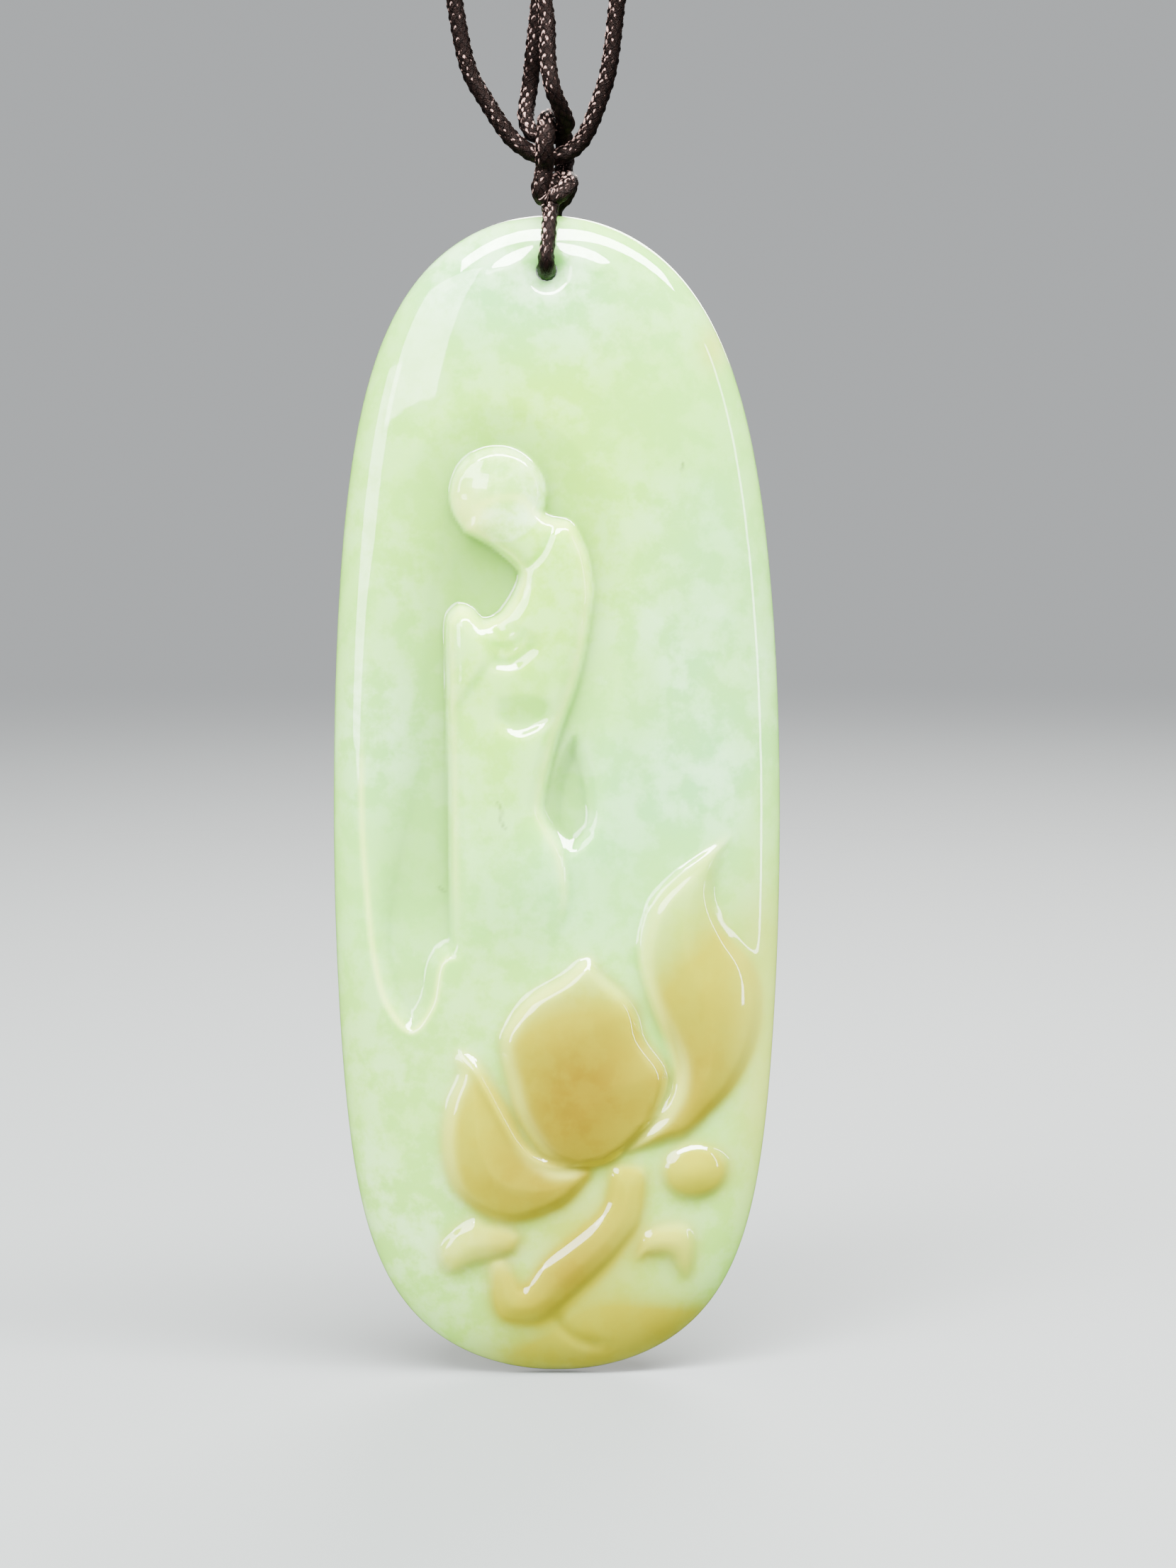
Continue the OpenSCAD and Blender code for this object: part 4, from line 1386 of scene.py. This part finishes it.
class Tree:
    """Short words for laying out nodes in a material or a node group."""

    def __init__(self, tree: bpy.types.NodeTree) -> None:
        """Keeps the tree that the nodes go into."""
        self.tree = tree

    def node(self, kind: str, **settings: object) -> bpy.types.Node:
        """Adds a node.

        Args:
            kind: Kind of node.
            settings: The node's own settings by name.

        Returns:
            The node.
        """
        made = self.tree.nodes.new(kind)
        for key, value in settings.items():
            setattr(made, key, value)
        return made

    def feed(self, target: bpy.types.NodeSocket, value: object) -> None:
        """Links a socket to a target, or sets the target's own value.

        Args:
            target: The input that is fed.
            value: A socket, or a plain value.
        """
        if isinstance(value, bpy.types.NodeSocket):
            self.tree.links.new(value, target)
        else:
            target.default_value = value

    def fill(self, node: bpy.types.Node, values: dict[str, object]) -> bpy.types.Node:
        """Feeds a node's inputs.

        Args:
            node: The node.
            values: A socket or a plain value for each input, by its name.

        Returns:
            The same node.
        """
        for key, value in values.items():
            self.feed(node.inputs[key], value)
        return node

    def calc(self, kind: str, *values: object) -> bpy.types.NodeSocket:
        """Adds a Math node.

        Args:
            kind: Its operation.
            values: Sockets or numbers that it works on.

        Returns:
            Its output.
        """
        made = self.node("ShaderNodeMath", operation=kind)
        for socket, value in zip(made.inputs, values):
            self.feed(socket, value)
        return made.outputs[0]

    def blend(self, share: object, low: object, high: object) -> bpy.types.NodeSocket:
        """Mixes two colours.

        Args:
            share: How much of the second shows.
            low: The first colour.
            high: The second colour.

        Returns:
            The mix.
        """
        made = self.node("ShaderNodeMix", data_type="RGBA", clamp_factor=True)
        self.feed(made.inputs[0], share)
        self.feed(made.inputs[6], low)
        self.feed(made.inputs[7], high)
        return made.outputs[2]

    def span(
        self, value: object, low: float, high: float, to_low: float = 0.0, to_high: float = 1.0
    ) -> bpy.types.NodeSocket:
        """Maps a value from one span onto another, with soft ends.

        Args:
            value: The value.
            low: Start of its span.
            high: End of its span.
            to_low: What the start becomes.
            to_high: What the end becomes.

        Returns:
            The mapped value.
        """
        made = self.node("ShaderNodeMapRange", interpolation_type="SMOOTHSTEP")
        for socket, given in zip(made.inputs, (value, low, high, to_low, to_high)):
            self.feed(socket, given)
        return made.outputs[0]

    def noise(self, where: object, scale: object, detail: float, rough: float = 0.5) -> bpy.types.NodeSocket:
        """Adds a noise texture.

        Args:
            where: Its coordinates.
            scale: Its scale.
            detail: Its detail.
            rough: Its roughness.

        Returns:
            Its value.
        """
        made = self.node("ShaderNodeTexNoise")
        self.fill(made, {"Vector": where, "Scale": scale, "Detail": detail, "Roughness": rough})
        return made.outputs[0]

    def bump(self, height: object, strength: float, distance: float) -> bpy.types.NodeSocket:
        """Turns heights into a bump.

        Args:
            height: The heights.
            strength: Strength of the bump.
            distance: Its depth in metres.

        Returns:
            The bent normal.
        """
        made = self.node("ShaderNodeBump")
        self.fill(made, {"Height": height, "Strength": strength, "Distance": distance})
        return made.outputs["Normal"]

    def group(self, content: bpy.types.NodeTree, **values: object) -> bpy.types.Node:
        """Places a node group with its own values, and returns its node."""
        return self.fill(self.node("ShaderNodeGroup", node_tree=content), values)

    def attribute(self, name: str) -> bpy.types.NodeSocket:
        """Reads a named attribute of the mesh, and returns its value."""
        return self.node("ShaderNodeAttribute", attribute_name=name).outputs["Fac"]


def new_group(
    name: str, inputs: dict[str, tuple[str, object]], outputs: list[str]
) -> tuple[Tree, dict[str, bpy.types.NodeSocket], bpy.types.Node]:
    """Starts a shader node group with named sockets.

    Args:
        name: Name of the group.
        inputs: Kind of socket and default value of each input.
        outputs: Names of the float outputs.

    Returns:
        The group's tree, its inputs by name, and the node that its outputs go to.
    """
    group = bpy.data.node_groups.new(name, "ShaderNodeTree")
    for key, (kind, value) in inputs.items():
        socket = group.interface.new_socket(key, in_out="INPUT", socket_type=kind)
        if value is not None:
            socket.default_value = value
    for key in outputs:
        group.interface.new_socket(key, in_out="OUTPUT", socket_type="NodeSocketFloat")
    tree = Tree(group)
    entry = tree.node("NodeGroupInput")
    return tree, {key: entry.outputs[key] for key in inputs}, tree.node("NodeGroupOutput")


# Spans of the noises: clouds out of the broad one, flecks out of the fine one, and clouds that flecks show in.
CLOUD_SPAN = (0.36, 0.64)
FLECK_SPAN = (0.5, 0.72)
FLECKED_SPAN = (0.3, 0.9)


def drift_group() -> bpy.types.NodeTree:
    """Builds the group of soft clouds with small flecks in them, which the stone and the waxed cord both use.

    Clouds are a broad noise stretched to full contrast. Flecks are a fine noise that only shows within clouds.

    Returns:
        The node group, with Vector, Scale and Fleck inputs and Clouds and Flecks outputs.
    """
    tree, given, out = new_group(
        "Drift",
        {
            "Vector": ("NodeSocketVector", None),
            "Scale": ("NodeSocketFloat", 150.0),
            "Fleck": ("NodeSocketFloat", 7.0),
        },
        ["Clouds", "Flecks"],
    )
    broad = tree.noise(given["Vector"], given["Scale"], 3.0, 0.5)
    clouds = tree.span(broad, *CLOUD_SPAN)
    fine = tree.noise(given["Vector"], tree.calc("MULTIPLY", given["Scale"], given["Fleck"]), 3.0, 0.6)
    flecks = tree.calc("MULTIPLY", tree.span(fine, *FLECK_SPAN), tree.span(clouds, *FLECKED_SPAN))
    tree.fill(out, {"Clouds": clouds, "Flecks": flecks})
    return tree.tree


def braid_group() -> bpy.types.NodeTree:
    """Builds the group that draws a round braid from the turns around and along a cord.

    It is the braid of the cord's own surface: with A = n(around + run) and B = n(around - run), each lay is
    |cos| across its band, and rises over the other lay by turns.

    Returns:
        The node group, with Cosine, Sine, Run and Strands inputs and a Height output.
    """
    tree, given, out = new_group(
        "Braid",
        {
            "Cosine": ("NodeSocketFloat", 1.0),
            "Sine": ("NodeSocketFloat", 0.0),
            "Run": ("NodeSocketFloat", 0.0),
            "Strands": ("NodeSocketFloat", float(STRANDS)),
        },
        ["Height"],
    )
    around = tree.calc("DIVIDE", tree.calc("ARCTAN2", given["Sine"], given["Cosine"]), 2 * math.pi)
    a = tree.calc("MULTIPLY", given["Strands"], tree.calc("ADD", around, given["Run"]))
    b = tree.calc("MULTIPLY", given["Strands"], tree.calc("SUBTRACT", around, given["Run"]))
    lays = []
    for own, other, over in ((a, b, BRAID_RISE), (b, a, -BRAID_RISE)):
        band = tree.calc("ABSOLUTE", tree.calc("COSINE", tree.calc("MULTIPLY", own, math.pi)))
        swing = tree.calc("COSINE", tree.calc("MULTIPLY", tree.calc("ADD", other, tree.calc("ROUND", own)), math.pi))
        lays.append(tree.calc("MULTIPLY", band, tree.calc("MULTIPLY_ADD", swing, over, 1 - BRAID_RISE)))
    tree.feed(out.inputs["Height"], tree.calc("MAXIMUM", *lays))
    return tree.tree


def new_material(name: str) -> tuple[bpy.types.Material, Tree, bpy.types.Node, bpy.types.NodeSocket]:
    """Starts a material.

    Args:
        name: Name of the material.

    Returns:
        The material, its tree, its shader and the object coordinates.
    """
    material = bpy.data.materials.new(name)
    material.use_nodes = True
    tree = Tree(material.node_tree)
    shader = material.node_tree.nodes["Principled BSDF"]
    return material, tree, shader, tree.node("ShaderNodeTexCoord").outputs["Object"]


@dataclass(frozen=True)
class JadeFinish:
    """Polished jade: pale green with clouds, an amber lotus, painted shade in its hollows, painted highlights and
    glow, and light that goes a little way in.
    """

    pale: str = "#9CD854"
    lime: str = "#A6DC1C"
    mint: str = "#86D084"
    milk: str = "#CCF2C2"
    shade: str = "#6EBE58"
    lemon: str = "#A29E00"
    amber: str = "#7F6B00"
    # Painted shade in the hollows of the carving.
    deep: str = "#74A440"
    # Painted highlights and glow, and the leaves' paler tone.
    bright: str = "#E2F67E"
    # Dark cracks, and painted shade on the bore's wall.
    dark: str = "#262E1E"
    roughness: float = 0.045
    ior: float = 1.66
    depth: float = 0.0026
    cloud_scale: float = 110.0
    fleck_scale: float = 420.0
    patch_scale: float = 560.0
    wave_scale: float = 700.0
    wave_strength: float = 0.12
    wave_depth: float = 0.00006
    fleck_roughness: float = 0.04
    shade_strength: float = 0.75
    edge_strength: float = 0.8
    glow: float = 0.95
    glow_radius: tuple[float, float, float] = (0.9, 1.0, 0.6)
    coat: float = 0.5
    coat_roughness: float = 0.03

    def build(self, drift: bpy.types.NodeTree) -> bpy.types.Material:
        """Builds the material: colours laid over each other by the painted shares, with clouds between.

        Args:
            drift: The group of clouds and flecks.

        Returns:
            The material.
        """
        material, tree, shader, where = new_material("polished_jade")
        broad = tree.group(drift, Vector=where, Scale=self.cloud_scale, Fleck=6.0).outputs["Clouds"]
        flecks = tree.group(drift, Vector=where, Scale=self.fleck_scale, Fleck=5.0).outputs["Flecks"]
        patches = tree.span(tree.noise(where, self.patch_scale, 4.0, 0.6), 0.38, 0.62)
        cloudy = tree.calc("MULTIPLY", patches, tree.span(broad, 0.0, 1.0, 0.4, 1.0))
        haze = tree.calc("MULTIPLY_ADD", cloudy, 0.8, tree.calc("MULTIPLY", flecks, 0.15))
        soft = tree.calc("MULTIPLY_ADD", broad, 0.6, 0.4)
        colour = srgb(self.pale)
        # Layers of colour over the pale stone. Columns: painted share, colour, how much of the share shows.
        for tint, code, amount in (
            (Tint.LIME, self.lime, soft),
            (Tint.MINT, self.mint, soft),
            (Tint.MILK, self.shade, tree.span(patches, 0.0, 0.6, 0.34, 0.0)),
            (Tint.MILK, self.milk, tree.calc("MULTIPLY_ADD", haze, 0.9, 0.1)),
            (Tint.LEMON, self.lemon, tree.span(patches, 0.0, 1.0, 1.0, 0.97)),
            (Tint.AMBER, self.amber, tree.span(patches, 0.0, 1.0, 1.0, 0.88)),
            # The last three layers: painted shade, painted highlights and glow with the paler leaves, and cracks with
            # the bore's painted shade.
            (Tint.PAINTED_SHADE, self.deep, self.shade_strength),
            (Tint.PAINTED_LIGHT_AND_PALE, self.bright, self.edge_strength),
            (Tint.DARK, self.dark, self.edge_strength),
        ):
            share = tree.calc("MULTIPLY", tree.attribute(tint.value), amount)
            colour = tree.blend(share, colour, srgb(code))
        tree.fill(
            shader,
            {
                "Base Color": colour,
                "Roughness": tree.calc("MULTIPLY_ADD", flecks, self.fleck_roughness, self.roughness),
                "Normal": tree.bump(tree.noise(where, self.wave_scale, 2.0), self.wave_strength, self.wave_depth),
                "IOR": self.ior,
                "Subsurface Weight": self.glow,
                "Subsurface Scale": self.depth,
                "Subsurface Radius": self.glow_radius,
                "Coat Weight": self.coat,
                "Coat Roughness": self.coat_roughness,
            },
        )
        return material


@dataclass(frozen=True)
class CordFinish:
    """Waxed cord: dark reddish brown strands, with painted glints, pale pinkish spots, on the crowns that face up and
    to the left, towards the light.
    """

    dark: str = "#030202"
    strand: str = "#0C0605"
    painted_glint: str = "#D0A8A0"
    sheen: str = "#F2CFC8"
    roughness: float = 0.34
    wax_scale: float = 900.0
    wax_roughness: float = 0.16
    relief_strength: float = 0.8
    relief_depth: float = 0.00014
    specular: float = 0.1
    # Heights of the braid that a strand shows over, its gaps being painted darker as shade, and that a crown can take
    # a painted glint over.
    strand_span: tuple[float, float] = (0.3, 0.75)
    glint_crown_span: tuple[float, float] = (0.45, 0.85)
    # The painted glints: the pitch of their noise along the cord, what the lit side adds to it, and the span that
    # paints a crown pale.
    glint_pitch: float = 4.0
    glint_lit_more: float = 0.24
    glint_span: tuple[float, float] = (0.68, 0.78)
    # The lit side, which takes the most painted glints, and the levels over the hole that the glints begin and are
    # full at.
    lit_side: tuple[float, float, float] = (-0.5, -0.3, 0.8)
    glint_levels: tuple[float, float] = (-0.2867, -0.2853)

    def build(self, drift: bpy.types.NodeTree, braid: bpy.types.NodeTree) -> bpy.types.Material:
        """Builds the material from the braid that is drawn along the cord, with painted shade in its gaps, painted
        glints on its crowns and uneven wax on it.

        Args:
            drift: The group of clouds and flecks.
            braid: The group of the braid.

        Returns:
            The material.
        """
        material, tree, shader, where = new_material("waxed_cord")
        wax = tree.group(drift, Vector=where, Scale=self.wax_scale, Fleck=6.0).outputs["Clouds"]
        cosine, sine, run = (tree.attribute(f"weave_{key}") for key in ("cos", "sin", "run"))
        height = tree.group(braid, Cosine=cosine, Sine=sine, Run=run, Strands=float(STRANDS)).outputs["Height"]
        # Painted shade: the gaps between the strands are darker than the strands.
        colour = tree.blend(tree.span(height, *self.strand_span), srgb(self.dark), srgb(self.strand))
        turns = tree.node("ShaderNodeCombineXYZ")
        tree.fill(turns, {"X": cosine, "Y": sine, "Z": tree.calc("MULTIPLY", run, self.glint_pitch)})
        # Painted glints: pale spots on the strands' crowns, more of them where the surface faces up and to the left,
        # towards the light, and none low down where the cord enters the hole.
        glint_noise = tree.noise(turns.outputs[0], 2.2, 3.0, 0.6)
        fibres = tree.noise(turns.outputs[0], 14.0, 2.0)
        lean = tree.node("ShaderNodeVectorMath", operation="DOT_PRODUCT")
        tree.feed(lean.inputs[0], tree.node("ShaderNodeNewGeometry").outputs["Normal"])
        lean.inputs[1].default_value = self.lit_side
        lit = tree.span(lean.outputs["Value"], -0.1, 0.9)
        place = tree.node("ShaderNodeSeparateXYZ")
        tree.feed(place.inputs[0], where)
        clear = tree.span(place.outputs["Z"], *self.glint_levels)
        crown = tree.span(tree.calc("MULTIPLY_ADD", lit, self.glint_lit_more, glint_noise), *self.glint_span)
        for share in (tree.span(height, *self.glint_crown_span), clear, tree.span(fibres, 0.3, 0.6, 0.35, 0.95)):
            crown = tree.calc("MULTIPLY", crown, share)
        relief = tree.calc("MULTIPLY_ADD", fibres, 0.5, height)
        tree.fill(
            shader,
            {
                "Base Color": tree.blend(crown, colour, srgb(self.painted_glint)),
                "Roughness": tree.calc("MULTIPLY_ADD", wax, self.wax_roughness, self.roughness),
                "Normal": tree.bump(relief, self.relief_strength, self.relief_depth),
                "Specular IOR Level": self.specular,
                "Specular Tint": srgb(self.sheen),
            },
        )
        return material


def dress(piece: bpy.types.Object, material: bpy.types.Material) -> None:
    """Gives a piece its material in its only slot.

    Args:
        piece: The piece.
        material: What it wears.
    """
    piece.data.materials.clear()
    piece.data.materials.append(material)
    log.info("%s wears %s", piece.name, material.name)


@dataclass(frozen=True)
class Lamp:
    """A soft lamp: where it stands from the stone, its size and its power."""

    name: str
    place: tuple[float, float, float]
    size: tuple[float, float]
    watts: float
    colour: tuple[float, float, float] = (1.0, 1.0, 1.0)

    def build(self, target: Vector) -> None:
        """Stands the lamp up and turns it to the target.

        Args:
            target: The point that it lights.
        """
        light = bpy.data.lights.new(self.name, "AREA")
        light.shape = "RECTANGLE"
        light.size, light.size_y = self.size
        light.energy, light.color = self.watts, self.colour
        lamp = bpy.data.objects.new(self.name, light)
        lamp.location = target + Vector(self.place)
        lamp.rotation_euler = (target - lamp.location).to_track_quat("-Z", "Y").to_euler()
        lamp.visible_camera = False
        bpy.context.scene.collection.objects.link(lamp)


LAMPS = (
    Lamp("top_soft", (0.10, -0.32, 0.60), (1.05, 0.20), 50.0, (0.98, 1.0, 0.98)),
    Lamp("left_window", (-0.466, -0.555, 0.338), (0.52, 0.40), 11.0, (0.97, 1.0, 1.0)),
    Lamp("left_strip", (-0.706, -0.375, 0.10), (0.26, 0.34), 4.0, (0.97, 1.0, 1.0)),
    Lamp("right_strip", (0.72, -0.25, 0.10), (0.05, 0.5), 1.5),
    Lamp("back_glow", (0.12, 0.60, 0.30), (0.4, 0.4), 8.0, (1.0, 0.98, 0.94)),
)


@dataclass(frozen=True)
class Studio:
    """Plain pale floor, soft light and the camera at the photograph's angle. Lengths are in metres."""

    floor_z: float = -0.34955
    floor_rings: tuple[float, ...] = (0.02, 0.05, 0.1, 0.2, 0.4, 0.8, 1.6, 3.2)
    floor_sides: int = 96
    floor_colour: str = "#808384"
    floor_roughness: float = 0.75
    # Distances from the middle at which the floor starts to thin out and is gone.
    floor_fade: tuple[float, float] = (0.06, 0.5)
    lit_at: tuple[float, float, float] = (0.0, 0.0, -0.31)
    surroundings: str = "#C9CCCE"
    # Strength of the surroundings as light, and as the camera sees them.
    shed: float = 0.3
    seen: float = 0.85
    target: tuple[float, float, float] = (0.0023, 0.0, -0.31576)
    distance: float = 0.24
    elevation: float = 6.0
    lens: float = 97.6
    sensor: float = 36.0
    clip: tuple[float, float] = (0.01, 20.0)

    def floor(self) -> None:
        """Lays a round pale floor that thins out into the surroundings and isn't mirrored in the polished stone."""
        r = np.array(self.floor_rings)[:, None]
        a = np.linspace(0, 2 * math.pi, self.floor_sides + 1)[:-1][None]
        ring = np.stack([r * np.cos(a), r * np.sin(a), self.floor_z + 0 * r * a], -1).reshape(-1, 3)
        points = np.concatenate([[[0, 0, self.floor_z]], ring])
        j, i = np.meshgrid(np.arange(r.size - 1), np.arange(a.size), indexing="ij")
        k = (i + 1) % a.size
        near, far = 1 + j * a.size, 1 + (j + 1) * a.size
        quads = np.stack([near + i, far + i, far + k, near + k], -1)
        fan = np.stack([0 * i[0], 1 + i[0], 1 + k[0]], -1)
        mesh = bpy.data.meshes.new("floor")
        mesh.from_pydata(points.tolist(), [], quads.reshape(-1, 4).tolist() + fan.tolist())
        plane = bpy.data.objects.new("floor", mesh)
        plane.visible_glossy = False
        bpy.context.scene.collection.objects.link(plane)
        dress(plane, self.floor_material())

    def floor_material(self) -> bpy.types.Material:
        """Builds the floor's matt grey, which thins out with the distance from the middle.

        Returns:
            The material.
        """
        material, tree, shader, where = new_material("pale_floor")
        away = tree.node("ShaderNodeVectorMath", operation="DISTANCE")
        tree.feed(away.inputs[0], where)
        away.inputs[1].default_value = (0.0, 0.0, self.floor_z)
        alpha = tree.span(away.outputs["Value"], *self.floor_fade, 1.0, 0.0)
        colour = srgb(self.floor_colour)
        tree.fill(shader, {"Base Color": colour, "Roughness": self.floor_roughness, "Alpha": alpha})
        return material

    def lights(self) -> None:
        """Stands up the soft lamps."""
        for lamp in LAMPS:
            lamp.build(Vector(self.lit_at))

    def world(self) -> None:
        """Sets the surroundings, which look pale and shed a dim light."""
        world = bpy.data.worlds.new("surroundings")
        world.use_nodes = True
        tree = Tree(world.node_tree)
        by_camera = tree.node("ShaderNodeLightPath").outputs["Is Camera Ray"]
        strength = tree.span(by_camera, 0.0, 1.0, self.shed, self.seen)
        tree.fill(world.node_tree.nodes["Background"], {"Color": srgb(self.surroundings), "Strength": strength})
        bpy.context.scene.world = world

    def camera(self) -> None:
        """Puts the camera before the carved face, a little above it, looking at the middle of the picture."""
        data = bpy.data.cameras.new("camera")
        data.lens, data.sensor_width = self.lens, self.sensor
        data.clip_start, data.clip_end = self.clip
        eye = bpy.data.objects.new("camera", data)
        e = math.radians(self.elevation)
        target = Vector(self.target)
        eye.location = target + self.distance * Vector((0.0, -math.cos(e), math.sin(e)))
        eye.rotation_euler = (target - eye.location).to_track_quat("-Z", "Y").to_euler()
        bpy.context.scene.collection.objects.link(eye)
        bpy.context.scene.camera = eye

    def build(self) -> None:
        """Builds floor, lights, surroundings and camera."""
        self.floor()
        self.lights()
        self.world()
        self.camera()


def main() -> None:
    """Builds the studio, the stone, the cords and the knots, and dresses them."""
    logging.basicConfig(level=logging.INFO, format="%(name)s: %(message)s")
    Studio().build()
    drift, braid = drift_group(), braid_group()
    jade, cord = JadeFinish().build(drift), CordFinish().build(drift, braid)
    dress(JadePlaque(StoneForm(), Hole()).build(), jade)
    for piece in (
        BraidedCord(OUTER_ROUTE, NECK_CORD, BACK).build("outer_necklace_cord", "neck_cord_outer"),
        BraidedCord(INNER_ROUTE, NECK_CORD, BACK).build("inner_necklace_cord", "neck_cord_inner"),
        BraidedCord(BAIL_LOOP_ROUTE, BAIL_CORD, RIGHT, flare=0.2).build("bail_cord_through_stone", "bail_loop"),
        BraidedCord(BAIL_EYE_ROUTE, BAIL_CORD, RIGHT, widen=1.25).build("bail_cord_eye", "bail_eye"),
        BailKnot().build(),
        NapeKnot().build(),
    ):
        dress(piece, cord)
    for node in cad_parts.values():
        dress(node, jade if node.name == "jade_plaque" else cord)


if __name__ == "__main__":
    main()
